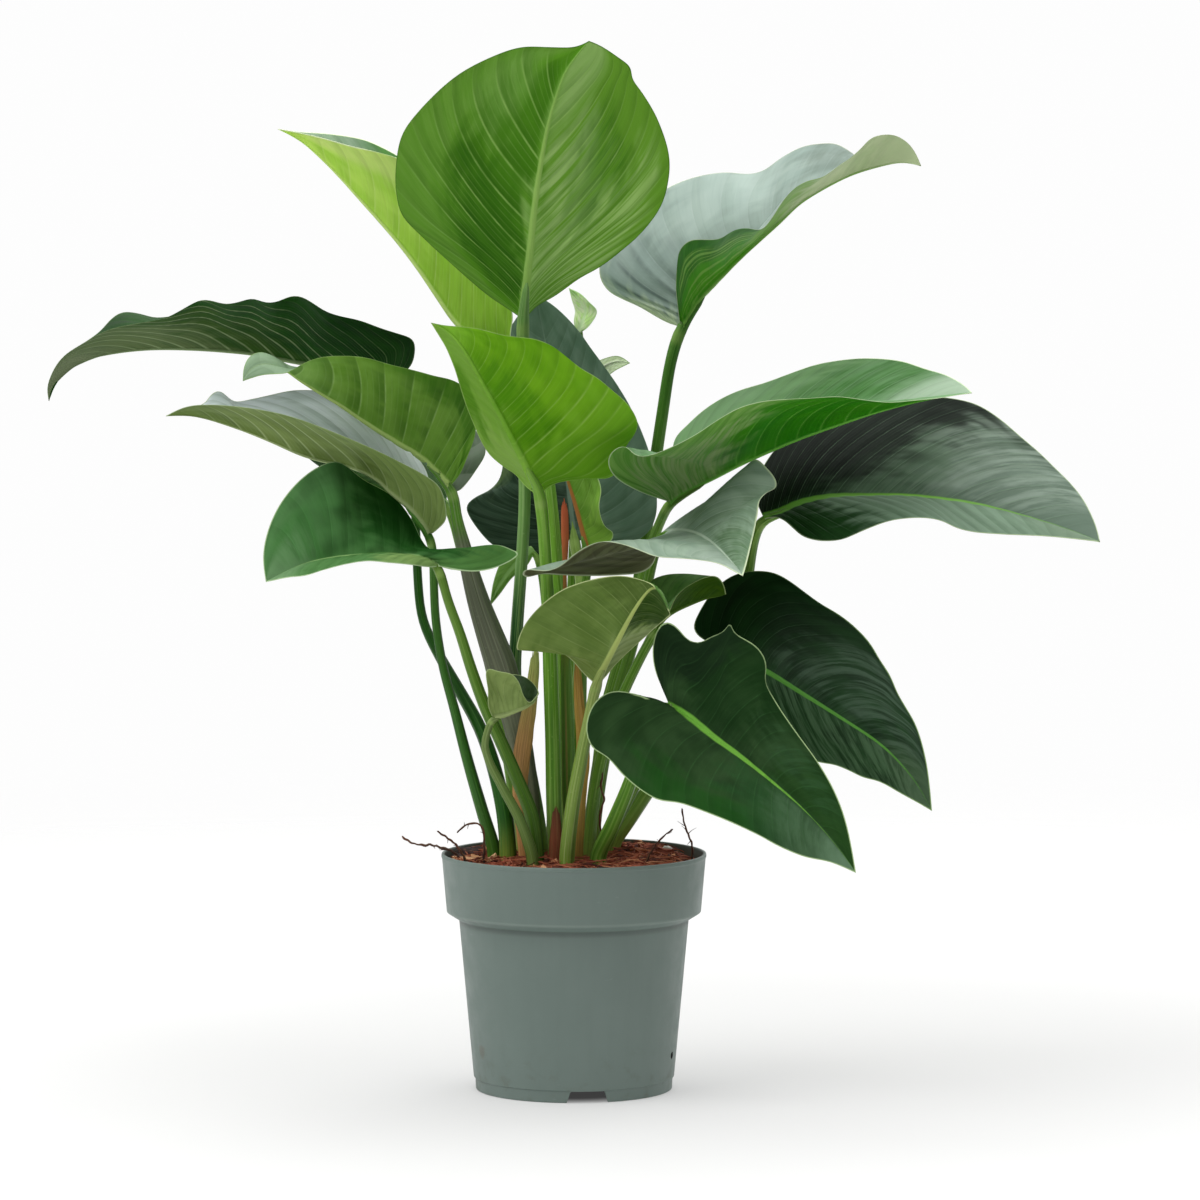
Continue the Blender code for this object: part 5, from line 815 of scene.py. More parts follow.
# ---- petioles --------------------------------------------------------------------
def tube(P, R, sides, shape=None, facing=(0.0, -1.0, 0.0)):
    """Rings round the points P. shape(angle, fraction) scales the radius; angle 0
    is towards facing. Returns vertices, faces, angle and fraction of each vertex."""
    T = unit(np.gradient(P, axis=0))
    L = np.concatenate([[0], np.cumsum(np.linalg.norm(np.diff(P, axis=0), axis=1))])
    f = L / L[-1]
    X = np.zeros_like(P)
    prev = np.array(facing, float)
    for i in range(len(P)):
        prev = unit(prev - T[i] * (prev @ T[i]))
        X[i] = prev
    Y = np.cross(T, X)
    a = 2 * pi * np.arange(sides) / sides
    Q = np.ones((len(P), sides)) if shape is None else shape(a[None, :], f[:, None])
    V = P[:, None] + (R[:, None] * Q)[..., None] * (np.cos(a)[None, :, None] * X[:, None] + np.sin(a)[None, :, None] * Y[:, None])
    F = []
    for i in range(len(P) - 1):
        for q in range(sides):
            b = (q + 1) % sides
            F.append((i * sides + q, i * sides + b, (i + 1) * sides + b, (i + 1) * sides + q))
    F.append(tuple(range(sides - 1, -1, -1)))
    F.append(tuple(range((len(P) - 1) * sides, len(P) * sides)))
    ang = np.tile(a, len(P))
    fr = np.repeat(f, sides)
    return V.reshape(-1, 3), F, ang, fr, L[-1]


def petiole_piece(name):
    base, radii, points = PET[name]
    leaf = LEAF_OF[name]
    k = STEMLOOK.get(name, {})
    Mid, Nrm, tm, Rm = BLADE[leaf]
    path = [("w", base[0], base[1], z) for z in (STEM_Z, 162.0, 171.0)] + points
    short = curve(path, [0.0])[1]
    ext = []
    for t in (0.03, 0.07, 0.12):
        i = int(np.argmin(np.abs(tm - t)))
        q = Mid[i] - Nrm[i] * (Rm[i] * 0.72)
        ext.append(("w", *(q / MM)))
    path = path + ext
    n = 64
    fr = np.linspace(0, 1, n + 1)
    P, total = curve(path, fr)
    P = soften(P, 3)
    g = fr * total / short                       # 1 where the blade starts
    rr = np.interp(g, [0, 0.15, 0.55, 0.93, 0.985, 1.0, total / short],
                   [radii[0], radii[0], radii[1], radii[2] * 0.97, radii[2] * 1.03, radii[2] * 0.97, radii[2] * 0.45]) * MM
    rr[-1] *= 0.5
    flat = k.get("flat", 1.0)

    def shape(a, f):
        g = f * total / short
        groove = 0.20 * np.exp(-((np.minimum(a, 2 * pi - a)) / 0.62) ** 2) * ramp(g, 0.02, 0.2) * (1 - ramp(g, 0.8, 1.0) * 0.7)
        ridges = 0.030 * np.cos(8 * a + 2 * f)
        oval = np.sqrt(1.0 / (np.sin(a) ** 2 + (np.cos(a) / flat) ** 2)) if flat != 1.0 else 1.0
        return oval * (1 - groove + ridges)

    inward = np.array([-base[0], -base[1] * 0.6 - 6.0, 0.0])      # the groove faces the middle of the clump, and forward
    V, F, ang, f, total2 = tube(P, rr, 24, shape, k.get("facing", tuple(unit(inward))))
    up = np.clip(f * total / short, 0, 1.05)
    co = np.stack([np.cos(ang) * 3.2, np.sin(ang) * 3.2, f * total2 * 7.0 + base[0]], axis=1)
    ob = piece(name + "_stalk", V, F, stem_material(name + "_look", **{**STEM_BASE, **{x: y for x, y in k.items() if x not in ("facing", "flat")}}),
               dict(up=up, stem=co))
    stand_for(ob, name)


def sheath_piece(index, name):
    """A dry sheath: a thin strip curled round its stalk, torn at the top."""
    base, radii, points = PET[name]
    k = SHEATHLOOK[name]
    rng = np.random.RandomState(40 + index)
    path = [("w", base[0], base[1], z) for z in (STEM_Z, 162.0, 171.0)] + points
    n, c = 60, 18
    fr = np.linspace(0, 1, n + 1)
    P, total = curve(path, fr)
    rr = np.interp(fr, [0, 0.15, 0.55, 0.97, 1.0], [radii[0], radii[0], radii[1], radii[2], radii[2] * 0.6]) * MM
    if "club" in k:
        rr = np.interp(fr, [0, 0.15, 0.55, 0.80, 0.90, 0.96, 0.985, 1.0],
                       [radii[0], radii[0], radii[1], k["club"], radii[2], radii[2] * 0.95, radii[2] * 0.75, radii[2] * 0.35]) * MM
    T = unit(np.gradient(P, axis=0))
    X = unit(np.array([0.0, -1.0, 0.0]) - T * (T @ np.array([0.0, -1.0, 0.0]))[:, None])
    Y = np.cross(T, X)
    a = np.linspace(-k.get("wrap", 1.5), k.get("wrap", 1.5), c + 1)
    tear = np.clip(1 - np.abs(rng.normal(0, k.get("tear", 0.05), c + 1)) - k.get("round", 0.10) * (np.abs(np.linspace(-1, 1, c + 1)) ** 2), 0.6, 1.0)
    tear[c // 2 - 1:c // 2 + 2] = 1.0
    wob = waves(rng, 4, 8, 25)
    V, up, co = [], [], []
    for lay in (0.0, -0.45):
        for j in range(c + 1):
            f = fr * tear[j]
            x = np.stack([np.interp(f, fr, P[:, q]) for q in range(3)], axis=1)
            ex = np.stack([np.interp(f, fr, X[:, q]) for q in range(3)], axis=1)
            ey = np.stack([np.interp(f, fr, Y[:, q]) for q in range(3)], axis=1)
            R = np.interp(f, fr, rr) * (1 + 0.05 * wob(f * 3 + a[j])) + lay * MM
            V.append(x + (R * cos(a[j]) * 0.55)[:, None] * ex + (R * sin(a[j]))[:, None] * ey)
            up.append(f)
            co.append(np.stack([np.full(n + 1, a[j] * 2.2), np.full(n + 1, 1.0), f * total * 6.0], axis=1))
    V = np.concatenate(V)
    m = (n + 1) * (c + 1)
    F = []
    for j in range(c):
        for i in range(n):
            p = j * (n + 1) + i
            q = p + n + 1
            F += [(p, q, q + 1, p + 1), (m + p + 1, m + q + 1, m + q, m + p)]
    ring = [i for i in range(n + 1)] + [j * (n + 1) + n for j in range(1, c + 1)] + [c * (n + 1) + i for i in range(n - 1, -1, -1)] \
        + [j * (n + 1) for j in range(c - 1, 0, -1)]
    for q in range(len(ring)):
        x, y = ring[q], ring[(q + 1) % len(ring)]
        F.append((x, x + m, y + m, y))
    ob = piece(name + "_strip", V, F, dry_material(name + "_look", *k["c"]), dict(up=np.concatenate(up), stem=np.concatenate(co)))
    stand_for(ob, name)


def root_piece(index, name):
    radius, points = ROOT[name]
    rng = np.random.RandomState(70 + index)
    n = 40
    fr = np.linspace(0, 1, n + 1)
    P, total = curve(points, fr)
    jit = waves(rng, 5, 20, 60)
    P[1:-1] += np.stack([jit(fr[1:-1] + q) for q in range(3)], axis=1) * 0.35 * MM
    thick = waves(rng, 5, 15, 50)
    R = radius * MM * (0.62 + 0.3 * fr + 0.16 * thick(fr))
    R[0] *= 0.4
    Vs, Fs, ups, cos_ = [], [], [], []
    V, F, ang, f, L = tube(P, R, 8)
    Vs.append(V); Fs += F; ups.append(f); cos_.append(np.stack([np.cos(ang), np.sin(ang), f * L * 12], axis=1))
    off = len(V)
    for q in range(rng.randint(3, 6)):       # side rootlets
        i = rng.randint(6, n - 4)
        d = unit(rng.normal(0, 1, 3) + np.array([0, 0, 0.3]))
        ln = rng.uniform(3, 8) * MM
        side = unit(rng.normal(0, 1, 3))
        t = np.linspace(0, 1, 9)[:, None]
        Q = P[i] + d * ln * t + side * ln * 0.35 * t ** 2
        V, F, ang, f, L = tube(Q, np.linspace(0.42, 0.12, 9) * MM * radius, 6)
        Vs.append(V); Fs += [tuple(x + off for x in y) for y in F]
        ups.append(1 - f); cos_.append(np.stack([np.cos(ang), np.sin(ang), f * L * 12], axis=1))
        off += len(V)
    ob = piece(name + "_fibre", np.concatenate(Vs), Fs, dry_material(name + "_look", *ROOTLOOK.get(name, ((70, 40, 28), (84, 46, 32), (52, 34, 28)))),
               dict(up=np.concatenate(ups), stem=np.concatenate(cos_)))
    stand_for(ob, name)


# ---- pot -------------------------------------------------------------------------
def fillet(profile):
    """Rounds the corners of a profile: (radius, height, corner radius) in mm."""
    out = []
    n = len(profile)
    for i, (r, z, c) in enumerate(profile):
        if i in (0, n - 1) or c == 0:
            out.append((r, z))
            continue
        p = np.array([r, z])
        a, b = np.array(profile[i - 1][:2]) - p, np.array(profile[i + 1][:2]) - p
        la, lb = np.linalg.norm(a), np.linalg.norm(b)
        a, b = a / la, b / lb
        ang = np.arccos(np.clip(a @ b, -1, 1))
        cut = min(c / np.tan(ang / 2), la * 0.45, lb * 0.45)
        p0, p1 = p + a * cut, p + b * cut
        for t in np.linspace(0, 1, 5):
            out.append(tuple((1 - t) ** 2 * p0 + 2 * t * (1 - t) * p + t ** 2 * p1))
    return out


def turned(name, profile, mat, seg, sharp=None):
    V, F, rows = [], [], []
    for r, z in profile:
        if r == 0:
            rows.append([len(V)])
            V.append((0, 0, z * MM))
            continue
        rows.append(list(range(len(V), len(V) + seg)))
        for k in range(seg):
            a = 2 * pi * k / seg
            V.append((r * cos(a) * MM, r * sin(a) * MM, z * MM))
    for p, q in zip(rows, rows[1:]):
        for k in range(seg):
            k2 = (k + 1) % seg
            if len(p) == 1:
                F.append((p[0], q[k2], q[k]))
            elif len(q) == 1:
                F.append((p[k], p[k2], q[0]))
            else:
                F.append((p[k], p[k2], q[k2], q[k]))
    return piece(name, V, F, mat, sharp=sharp)


def prism_faces(o, n):
    return [(o + k, o + (k + 1) % n, o + n + (k + 1) % n, o + n + k) for k in range(n)] + \
        [tuple(o + k for k in range(n - 1, -1, -1)), tuple(o + n + k for k in range(n))]


def pot_cutters():
    tools = []

    def tool(V):
        n = len(V) // 2
        F = prism_faces(0, n)
        V = np.array(V)
        if volume(V, F) < 0:
            F = [tuple(reversed(f)) for f in F]
        me = bpy.data.meshes.new("cutter")
        me.from_pydata(V.tolist(), [], F)
        ob = bpy.data.objects.new("cutter", me)
        bpy.context.scene.collection.objects.link(ob)
        tools.append(ob)

    for i in range(3):
        a = radians(-90 + NOTCH_AZ + 120 * i)
        out, side, up = np.array([cos(a), sin(a), 0]), np.array([-sin(a), cos(a), 0]), np.array([0, 0, 1.0])
        V = []
        for d in (62.0, 78.0):
            for x, z in ((-NOTCH_W / 2 - 1.2, -1.0), (NOTCH_W / 2 + 1.2, -1.0), (NOTCH_W / 2 - 1.6, NOTCH_H - 0.6),
                         (NOTCH_W / 2 - 2.4, NOTCH_H), (-NOTCH_W / 2 + 2.4, NOTCH_H), (-NOTCH_W / 2 + 1.6, NOTCH_H - 0.6)):
                V.append((out * d + side * x + up * z) * MM)
        tool(V)
    for i in range(6):
        a = radians(30 + 60 * i)
        V = [((44 * cos(a) + 5 * cos(t)) * MM, (44 * sin(a) + 5 * sin(t)) * MM, z * MM)
             for z in (4.0, 16.0) for t in np.linspace(0, 2 * pi, 24, endpoint=False)]
        tool(V)
    for az in SIDE_HOLE_AZ:
        a = radians(-90 + az)
        out, side = np.array([cos(a), sin(a), 0]), np.array([-sin(a), cos(a), 0])
        V = [(out * d + side * SIDE_HOLE_R * cos(t) + np.array([0, 0, SIDE_HOLE_Z + SIDE_HOLE_R * sin(t)])) * MM
             for d in (64.0, 82.0) for t in np.linspace(0, 2 * pi, 20, endpoint=False)]
        tool(V)
    return tools


HOLE_R = WALL_FOOT_R + (WALL_TOP_R - WALL_FOOT_R) * (SIDE_HOLE_Z - STEP_Z) / (WALL_TOP_Z - STEP_Z)
POT_SPOTS = ((HOLE_R * sin(radians(SIDE_HOLE_AZ[0])) * MM, -HOLE_R * cos(radians(SIDE_HOLE_AZ[0])) * MM, SIDE_HOLE_Z * MM), (-0.065, -0.0345, 0.031))


def pot_material():
    n = Nodes("pot_look")
    p = n.pos()
    big = n.noise(p, 9.0, 3.0)
    fine = n.noise(p, 1500.0, 2.0)
    xyz = n.t.nodes.new("ShaderNodeSeparateXYZ")
    n.put(xyz.inputs[0], p)
    z = xyz.outputs[2]
    c = n.mix(n.range(big, 0.3, 0.7), rgb(*POT_C[0]), rgb(*POT_C[1]))
    # faint upright flow marks of the moulding
    ring = n.vec(n.math("MULTIPLY", xyz.outputs[0], 60.0), n.math("MULTIPLY", xyz.outputs[1], 60.0), n.math("MULTIPLY", z, 4.0))
    flow = n.noise(ring, 2.0, 3.0)
    c = n.mix(n.math("MULTIPLY", n.range(flow, 0.4, 0.7), 0.10), c, rgb(*POT_C[2]))
    # dust and splashes near the foot
    low = n.range(z, 0.045, 0.004)
    scuff = n.noise(p, 70.0, 4.0, 0.65)
    c = n.mix(n.math("MULTIPLY", n.math("MULTIPLY", n.range(scuff, 0.5, 0.72), low), 0.45), c, rgb(92, 96, 84))
    marks = n.noise(n.vec(n.math("MULTIPLY", xyz.outputs[0], 30.0), n.math("MULTIPLY", xyz.outputs[1], 30.0), n.math("MULTIPLY", z, 140.0)), 2.0, 3.0, 0.7)
    c = n.mix(n.math("MULTIPLY", n.range(marks, 0.66, 0.8), 0.22), c, rgb(158, 168, 162))
    # a near-black ring round the small hole, painted shade that makes the hole read darker and larger, and a brown
    # smudge opposite
    for spot, size, shade, amt in ((POT_SPOTS[0], 3.6, (20, 20, 18), 0.9), (POT_SPOTS[1], 6.0, (96, 88, 74), 0.45)):
        d = n.t.nodes.new("ShaderNodeVectorMath")
        d.operation = "DISTANCE"
        n.put(d.inputs[0], p)
        d.inputs[1].default_value = spot
        c = n.mix(n.math("MULTIPLY", n.range(n.math("ADD", d.outputs["Value"], n.range(scuff, 0.3, 0.7, -0.0015, 0.0015)), size * MM, size * 0.55 * MM), amt), c, rgb(*shade))
    # painted shade: the inside of the wall is darkened
    inward = n.t.nodes.new("ShaderNodeVectorMath")
    inward.operation = "DOT_PRODUCT"
    n.put(inward.inputs[0], n.t.nodes.new("ShaderNodeNewGeometry").outputs["Normal"])
    n.put(inward.inputs[1], n.vec(xyz.outputs[0], xyz.outputs[1], 0.0))
    c = n.mix(n.math("MULTIPLY", n.range(inward.outputs["Value"], -0.02, -0.05), 0.7), c, rgb(44, 56, 52))
    # painted shadow in the corner under the band, and a painted highlight along the band's lower edge
    under_band_shadow = n.math("MULTIPLY", n.range(z, (WALL_TOP_Z - 4.5) * MM, (WALL_TOP_Z - 0.6) * MM), n.range(z, (WALL_TOP_Z + 1.6) * MM, (WALL_TOP_Z + 0.6) * MM))
    c = n.mix(n.math("MULTIPLY", under_band_shadow, 0.45), c, rgb(58, 66, 60))
    band_edge_highlight = n.math("MULTIPLY", n.range(z, (BAND_Z - 1.6) * MM, (BAND_Z - 0.4) * MM), n.range(z, (BAND_Z + 1.8) * MM, (BAND_Z + 0.4) * MM))
    c = n.mix(n.math("MULTIPLY", band_edge_highlight, 0.30), c, rgb(142, 154, 146))
    n.bump(n.math("ADD", n.math("MULTIPLY", fine, 0.6), n.math("MULTIPLY", flow, 0.8)), 0.25, 0.0003)
    return n.done(c, n.range(scuff, 0.3, 0.75, 0.42, 0.58), Specular_IOR_Level=0.5)


def build_pot():
    prof = fillet([(0, 0, 0), (BOSS_R, 0, 0.6), (BOSS_R + 1.0, STEP_Z, 0.8), (66.2, STEP_Z, 0.8), (66.6, 0, 0.6),
                   (FOOT_R, 0, 1.2), (FOOT_R + 0.4, 8.3, 0.3), (WALL_FOOT_R, STEP_Z + 0.2, 0.7),
                   (WALL_TOP_R, WALL_TOP_Z, 0.4), (BAND_R, BAND_Z, 1.0), (RIM_R - 0.5, 166.6, 0.5),
                   (RIM_R, 167.4, 0.4), (RIM_R - 0.1, POT_H, 1.1), (RIM_R - 2.3, POT_H, 1.1), (RIM_R - 2.5, 167.4, 0.6),
                   (BAND_R - WALL, BAND_Z + 1.6, 1.0), (WALL_TOP_R - WALL, WALL_TOP_Z + 1.5, 1.2),
                   (WALL_FOOT_R - WALL - 0.1, FLOOR_Z, 2.0), (0, FLOOR_Z, 0)])
    pot = turned("pot_shell", prof, pot_material(), 144, sharp=None)
    tools = pot_cutters()
    for t in tools:
        m = pot.modifiers.new("cut", "BOOLEAN")
        m.operation = "DIFFERENCE"
        m.solver = "EXACT"
        m.object = t
    dg = bpy.context.evaluated_depsgraph_get()
    done = bpy.data.meshes.new_from_object(pot.evaluated_get(dg))
    pot.modifiers.clear()
    pot.data = done
    for t in tools:
        bpy.data.objects.remove(t)
    pot.data.shade_smooth()
    pot.data.set_sharp_from_angle(angle=radians(32))
    stand_for(pot, "pot")


# ---- potting mix -------------------------------------------------------------------
def heap(x, y):
    """How far the loose mix is heaped over the settled bed, in mm: more at the back."""
    return 3.2 * ramp(np.asarray(y, float), -15.0, 60.0) * ramp(92.0 - np.hypot(x, y), 0.0, 6.0)


def chip_cloud():
    """Bark chips, coco pith and fibres lying on the mix, joined in one mesh."""
    rng = np.random.RandomState(7)
    # a small ball of 42 points, squashed into chips
    g = (1 + sqrt(5)) / 2
    v = [(-1, g, 0), (1, g, 0), (-1, -g, 0), (1, -g, 0), (0, -1, g), (0, 1, g), (0, -1, -g), (0, 1, -g), (g, 0, -1), (g, 0, 1), (-g, 0, -1), (-g, 0, 1)]
    f = [(0, 11, 5), (0, 5, 1), (0, 1, 7), (0, 7, 10), (0, 10, 11), (1, 5, 9), (5, 11, 4), (11, 10, 2), (10, 7, 6), (7, 1, 8),
         (3, 9, 4), (3, 4, 2), (3, 2, 6), (3, 6, 8), (3, 8, 9), (4, 9, 5), (2, 4, 11), (6, 2, 10), (8, 6, 7), (9, 8, 1)]
    v = [unit(np.array(p, float)) for p in v]
    mid, f2 = {}, []

    def half_way(a, b):
        key = (min(a, b), max(a, b))
        if key not in mid:
            v.append(unit(v[a] + v[b]))
            mid[key] = len(v) - 1
        return mid[key]

    for a, b, c in f:
        ab, bc, ca = half_way(a, b), half_way(b, c), half_way(c, a)
        f2 += [(a, ab, ca), (b, bc, ab), (c, ca, bc), (ab, bc, ca)]
    ball, faces = np.array(v), np.array(f2)
    box = np.sign(ball) * np.abs(ball) ** 0.55
    V, F, tone, co = [], [], [], []
    off = 0

    def put(C, faces, t, c):
        nonlocal off
        V.append(C)
        F.extend((np.asarray(faces) + off).tolist() if isinstance(faces, np.ndarray) else [tuple(x + off for x in y) for y in faces])
        tone.append(np.full(len(C), t))
        co.append(c)
        off += len(C)

    def chip(x, y, size, t, tilt=0.35, lift=0.0):
        z = float(soil_top(x, y)) + float(heap(x, y)) + lift
        ax = rng.uniform(0, 2 * pi)
        ex = np.array([cos(ax), sin(ax), rng.normal(0, tilt)])
        ex = unit(ex)
        ez = unit(np.array([rng.normal(0, tilt), rng.normal(0, tilt), 1.0]))
        ey = unit(np.cross(ez, ex))
        ez = np.cross(ex, ey)
        L, Wd, H = size
        b = box * (1 + rng.normal(0, 0.13, (len(box), 1)))
        b = b + 0.22 * np.sin(b[:, [1, 2, 0]] * 2.3 + rng.uniform(0, 6, 3))
        b[:, 2] += 0.25 * b[:, 0] ** 2 * rng.normal(0, 1)
        C = np.array([x, y, z]) + (b[:, :1] * L) * ex + (b[:, 1:2] * Wd) * ey + (b[:, 2:] * H) * ez
        # nothing sinks through the pot's wall or stands over its rim
        rad = np.hypot(C[:, 0], C[:, 1])
        lim = 89.4 + (np.clip(C[:, 2], 150, 170) - 160) * 0.09
        sc = np.minimum(1.0, lim / np.maximum(rad, 1e-6))
        C[:, 0] *= sc
        C[:, 1] *= sc
        put(C * MM, faces, t, b * np.array([L * 0.25, Wd, H]) + rng.uniform(0, 50, 3))

    for i in range(900):
        rad = 89.5 * sqrt(rng.uniform(0, 1))
        a = rng.uniform(0, 2 * pi)
        x, y = rad * cos(a), rad * sin(a)
        L = rng.choice([1.6, 2.4, 3.5, 5.5], p=[0.35, 0.35, 0.2, 0.1]) * rng.uniform(0.7, 1.3)
        chip(x, y, (L, L * rng.uniform(0.3, 0.75), min(1.3, L * rng.uniform(0.16, 0.4))), rng.uniform(0, 0.62) if rng.rand() < 0.86 else rng.uniform(0.62, 0.9),
             lift=rng.uniform(-0.4, 1.5))
    # the larger pieces that show at the rim: dark bark on the left, pale chips on the front left
    for x, y, L, Wd, H, t in ((-76, 30, 8.0, 5.0, 2.2, 0.03), (-70, 46, 6.5, 4.0, 2.0, 0.05), (-82, 16, 6.5, 3.5, 1.8, 0.04), (-62, 52, 5.0, 3.0, 1.6, 0.10),
                              (-80, 3, 10.0, 2.4, 1.4, 0.97), (-71, -8, 11.0, 2.0, 1.3, 0.93), (-66, -1, 8.0, 2.6, 1.2, 0.88), (-61, -17, 9.0, 2.2, 1.4, 0.95),
                              (66, 38, 7.0, 4.0, 2.2, 0.30), (70, 42, 5.0, 3.0, 1.8, 0.12),
                              (-46, -58, 7.0, 2.4, 1.5, 0.72), (-34, -76, 8.0, 2.4, 1.3, 0.70), (28, -78, 7.0, 2.2, 1.2, 0.66),
                              (44, -60, 8.0, 2.6, 1.4, 0.42), (60, -40, 9.0, 2.0, 1.2, 0.55), (72, -8, 7.0, 3.0, 1.4, 0.30),
                              (40, -30, 7.5, 2.8, 1.3, 0.50), (-20, -62, 6.0, 2.2, 1.3, 0.86)):
        chip(x, y, (L, Wd, H), t, tilt=0.18, lift=2.4)
    # fibres: thin curved strands lying about
    for i in range(640):
        rad = 86 * sqrt(rng.uniform(0, 1))
        a = rng.uniform(0, 2 * pi)
        x, y = rad * cos(a), rad * sin(a)
        ln = rng.uniform(10, 42)
        h = rng.uniform(0, 2 * pi)
        t = np.linspace(-0.5, 0.5, 11)
        bend = rng.normal(0, 0.5)
        px = x + ln * t * cos(h) - bend * ln * t ** 2 * sin(h)
        py = y + ln * t * sin(h) + bend * ln * t ** 2 * cos(h)
        q = np.hypot(px, py)
        sc = np.minimum(1.0, 88.6 / np.maximum(q, 1e-6))
        px, py = px * sc, py * sc
        pz = soil_top(px, py) + heap(px, py) + 1.3 + rng.uniform(0, 1.6) + (0.25 - t ** 2) * rng.uniform(0, 9) + t * rng.normal(0, 2.2)
        pz = np.maximum(pz, soil_top(px, py) + 0.4)
        P = np.stack([px, py, pz], axis=1) * MM
        Rr = np.full(11, rng.uniform(0.16, 0.5)) * MM
        Rr[0] *= 0.3
        Rr[-1] *= 0.3
        W_, Ff, ang, fr, L_ = tube(P, Rr, 5, facing=(0.0, 0.0, 1.0))
        put(W_, Ff, rng.uniform(0.1, 0.75), np.stack([np.cos(ang), np.sin(ang), fr * ln * 0.3], axis=1) + i)
    return np.concatenate(V), F, np.concatenate(tone), np.concatenate(co)


def mix_material(name, loose):
    n = Nodes(name)
    p = n.pos()
    if loose:
        tone = n.attr("tone")
        grain = n.noise(n.attr("grain", "Vector"), 1.6, 4.0, 0.65)
    else:
        tone = n.range(n.noise(p, 120.0, 3.0, 0.6), 0.3, 0.7, 0.05, 0.6)
        grain = n.noise(p, 700.0, 4.0, 0.65)
    ramp_ = n.t.nodes.new("ShaderNodeValToRGB")
    n.put(ramp_.inputs[0], tone)
    cr = ramp_.color_ramp
    cr.elements[0].position, cr.elements[0].color = 0.0, rgb(34, 22, 20)
    cr.elements[1].position, cr.elements[1].color = 1.0, rgb(240, 192, 146)
    for x, c in ((0.10, (62, 34, 28)), (0.24, (132, 64, 46)), (0.45, (170, 88, 62)), (0.62, (194, 116, 84)), (0.8, (220, 156, 110))):
        e = cr.elements.new(x)
        e.color = rgb(*c)
    c = n.mix(n.math("MULTIPLY", n.range(grain, 0.4, 0.7), 0.30), ramp_.outputs[0], (0.03, 0.012, 0.008, 1.0))
    c = n.mix(n.math("MULTIPLY", n.range(n.noise(p, 300.0, 2.0), 0.55, 0.75), 0.25), c, rgb(190, 120, 84))
    n.bump(grain, 0.8, 0.0009)
    return n.done(c, n.range(grain, 0.3, 0.7, 0.7, 0.92), Specular_IOR_Level=0.3)


def build_mix():
    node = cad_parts["potting_mix"]
    for sl in node.material_slots:
        sl.material = mix_material("mix_body_look", False)
    # crumbly skin over the mix, up to the pot's wall
    rings, seg = 70, 150
    V, tone = [], []
    rng = np.random.RandomState(3)
    ws = [waves(rng, 6, 0.15, 0.9) for _ in range(4)]
    rad = np.linspace(0, 91.3, rings + 1)[1:]
    for q in rad:
        for k in range(seg):
            a = 2 * pi * k / seg
            x, y = q * cos(a), q * sin(a)
            bump = 0.9 * ws[0](x) * ws[1](y) + 0.7 * ws[2](x + 0.7 * y) + 0.5 * ws[3](y - 0.6 * x)
            z = float(soil_top(x, y)) + float(heap(x, y)) + 0.7 + bump * min(1.0, (91.3 - q) / 6)
            z = max(z, float(soil_top(x, y)) + 0.15)
            V.append((x * MM, y * MM, z * MM))
    V.append((0, 0, (float(soil_top(0.01, 0.01)) + 0.8) * MM))
    F = []
    for i in range(rings - 1):
        for k in range(seg):
            k2 = (k + 1) % seg
            F.append((i * seg + k, (i + 1) * seg + k, (i + 1) * seg + k2, i * seg + k2))
    for k in range(seg):
        F.append((len(V) - 1, k, (k + 1) % seg))
    skin = piece("mix_skin", V, F, mix_material("mix_skin_look", False), check=False)
    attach(skin, "root")
    V, F, tone, co = chip_cloud()
    ob = piece("mix_chips", V, F, mix_material("mix_chips_look", True), dict(tone=tone, grain=co), check=False, sharp=50)
    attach(ob, "root")
    # one pale perlite crumb
    rng = np.random.RandomState(11)
    P = []
    for i in range(9):
        for k in range(14):
            t, a = pi * (i + 0.5) / 9, 2 * pi * k / 14
            q = 1 + 0.12 * rng.normal()
            P.append((q * 3.6 * sin(t) * cos(a), q * 2.2 * sin(t) * sin(a), q * 1.7 * cos(t)))
    F = [(i * 14 + k, i * 14 + (k + 1) % 14, (i + 1) * 14 + (k + 1) % 14, (i + 1) * 14 + k) for i in range(8) for k in range(14)]
    F += [tuple(range(13, -1, -1)), tuple(range(8 * 14, 9 * 14))]
    c = at(667, 849, 40)
    x, y = c[0] / MM, c[1] / MM
    P = np.array(P) + np.array([x, y, min(c[2] / MM + 0.6, float(soil_top(x, y)) + 8.5)])
    n = Nodes("perlite_look")
    g = n.noise(n.pos(), 900.0, 3.0)
    n.bump(g, 0.6, 0.0006)
    mat = n.done(n.mix(n.range(g, 0.35, 0.7), rgb(252, 250, 246), rgb(222, 218, 210)), n.range(g, 0.3, 0.7, 0.75, 0.9))
    ob = piece("mix_perlite", P * MM, F, mat)
    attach(ob, "root")


# ---- build ---------------------------------------------------------------------------
LEAF_NAMES = list(LEAF)
PETIOLE_OF = {nm: "petiole_" + nm[5:7] for nm in LEAF_NAMES}
LEAF_OF = {p: nm for nm, p in PETIOLE_OF.items()}

for i, nm in enumerate(LEAF_NAMES):
    leaf_piece(i, nm)
for nm in PET:
    if nm.startswith("petiole"):
        petiole_piece(nm)
for i, nm in enumerate(x for x in PET if x.startswith("sheath")):
    sheath_piece(i, nm)
for i, nm in enumerate(ROOT):
    root_piece(i, nm)
build_pot()
build_mix()

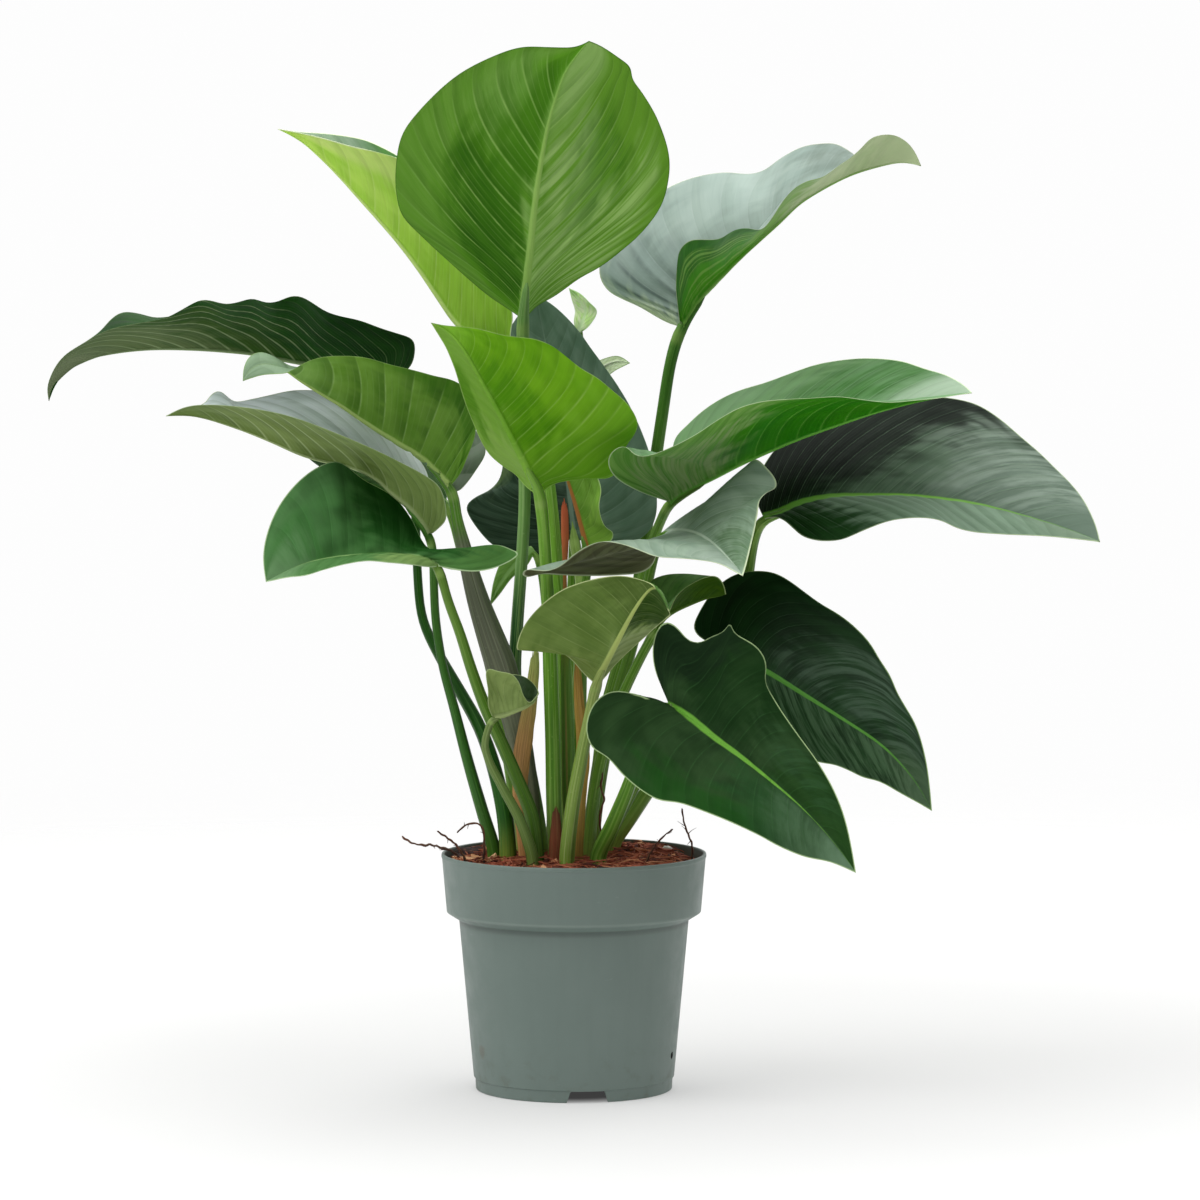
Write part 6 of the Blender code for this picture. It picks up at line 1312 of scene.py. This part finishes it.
# ---- floor, light and camera -----------------------------------------------------------
V, F = [(0.0, 0.0, 0.0)], []
for i, q in enumerate((0.05, 0.12, 0.25, 0.5, 0.9, 1.4, 2.0, 2.6)):
    V += [(q * cos(2 * pi * k / 96), q * sin(2 * pi * k / 96), 0.0) for k in range(96)]
    for k in range(96):
        k2 = (k + 1) % 96
        F.append((0, 1 + k, 1 + k2) if i == 0 else (1 + (i - 1) * 96 + k, 1 + i * 96 + k, 1 + i * 96 + k2, 1 + (i - 1) * 96 + k2))
fm = Nodes("floor_look")
# painted light: a table glowing a little, as if lit from below for cut-outs; painted shadow darkens its glow and colour
# round and under the pot
far = fm.t.nodes.new("ShaderNodeVectorMath")
far.operation = "DISTANCE"
fm.put(far.inputs[0], fm.pos())
far.inputs[1].default_value = (0.10, 0.18, 0.0)
near = fm.t.nodes.new("ShaderNodeVectorMath")
near.operation = "LENGTH"
fm.put(near.inputs[0], fm.pos())
painted_floor_shadow = fm.math("MULTIPLY", fm.range(far.outputs["Value"], 0.30, 0.66, 0.925, 1.0), fm.range(near.outputs["Value"], 0.046, 0.076, 0.13, 1.0))
fm.put(fm.bsdf.inputs["Emission Strength"], fm.math("MULTIPLY", painted_floor_shadow, FLOOR_GLOW))
floor = piece("floor", V, F, fm.done(fm.mix(painted_floor_shadow, (0.0, 0.0, 0.0, 1.0), rgb(*FLOOR_C)), 0.8, Specular_IOR_Level=0.1,
                                     Emission_Color=(1.0, 1.0, 1.0, 1.0)), check=False, smooth=False)
out = fm.t.nodes["Material Output"]
length = fm.t.nodes.new("ShaderNodeVectorMath")      # the floor fades out into the white backdrop
length.operation = "LENGTH"
fm.put(length.inputs[0], fm.pos())
clear = fm.t.nodes.new("ShaderNodeBsdfTransparent")
blend = fm.t.nodes.new("ShaderNodeMixShader")
fm.put(blend.inputs[0], fm.range(length.outputs["Value"], 1.0, 2.3))
fm.put(blend.inputs[1], fm.bsdf.outputs[0])
fm.put(blend.inputs[2], clear.outputs[0])
fm.put(out.inputs["Surface"], blend.outputs[0])

# a white backdrop; the room's own light is strongest overhead and behind
world = bpy.data.worlds.new("studio")
bpy.context.scene.world = world
world.use_nodes = True
wn = Nodes.__new__(Nodes)
wn.t = world.node_tree
shown = wn.t.nodes["Background"]
shown.inputs[0].default_value = (1.0, 1.0, 1.0, 1.0)
shown.inputs[1].default_value = 0.985
room = wn.t.nodes.new("ShaderNodeBackground")
room.inputs[0].default_value = (1.0, 1.0, 1.0, 1.0)
way = wn.t.nodes.new("ShaderNodeSeparateXYZ")
wn.put(way.inputs[0], wn.t.nodes.new("ShaderNodeTexCoord").outputs["Generated"])
level = wn.range(way.outputs[1], -0.5, 0.7, ROOM[0], ROOM[1])
level = wn.math("ADD", level, wn.range(way.outputs[2], 0.1, 0.9, 0.0, ROOM[2]))
wn.put(room.inputs[1], level)
pick = wn.t.nodes.new("ShaderNodeMixShader")
wn.put(pick.inputs[0], wn.t.nodes.new("ShaderNodeLightPath").outputs["Is Camera Ray"])
wn.put(pick.inputs[1], room.outputs[0])
wn.put(pick.inputs[2], shown.outputs[0])
wn.put(wn.t.nodes["World Output"].inputs[0], pick.outputs[0])


def softbox(name, where, aim, size, power):
    l = bpy.data.lights.new(name, "AREA")
    l.shape = "RECTANGLE"
    l.size, l.size_y = size
    l.energy = power
    o = bpy.data.objects.new(name, l)
    o.location = where
    o.rotation_euler = (Vector(aim) - Vector(where)).to_track_quat("-Z", "Y").to_euler()
    bpy.context.scene.collection.objects.link(o)


for b in BOXES:
    softbox(*b)

cam = bpy.data.cameras.new("camera")
cam.sensor_width = 36.0
cam.lens = 36.0 * SHEET / 1200.0
cam.clip_end = 100.0
co = bpy.data.objects.new("camera", cam)
co.location = EYE
co.rotation_euler = (radians(90) - TILT, 0, 0)
bpy.context.scene.collection.objects.link(co)
bpy.context.scene.camera = co
bpy.context.scene.view_settings.view_transform = "Standard"
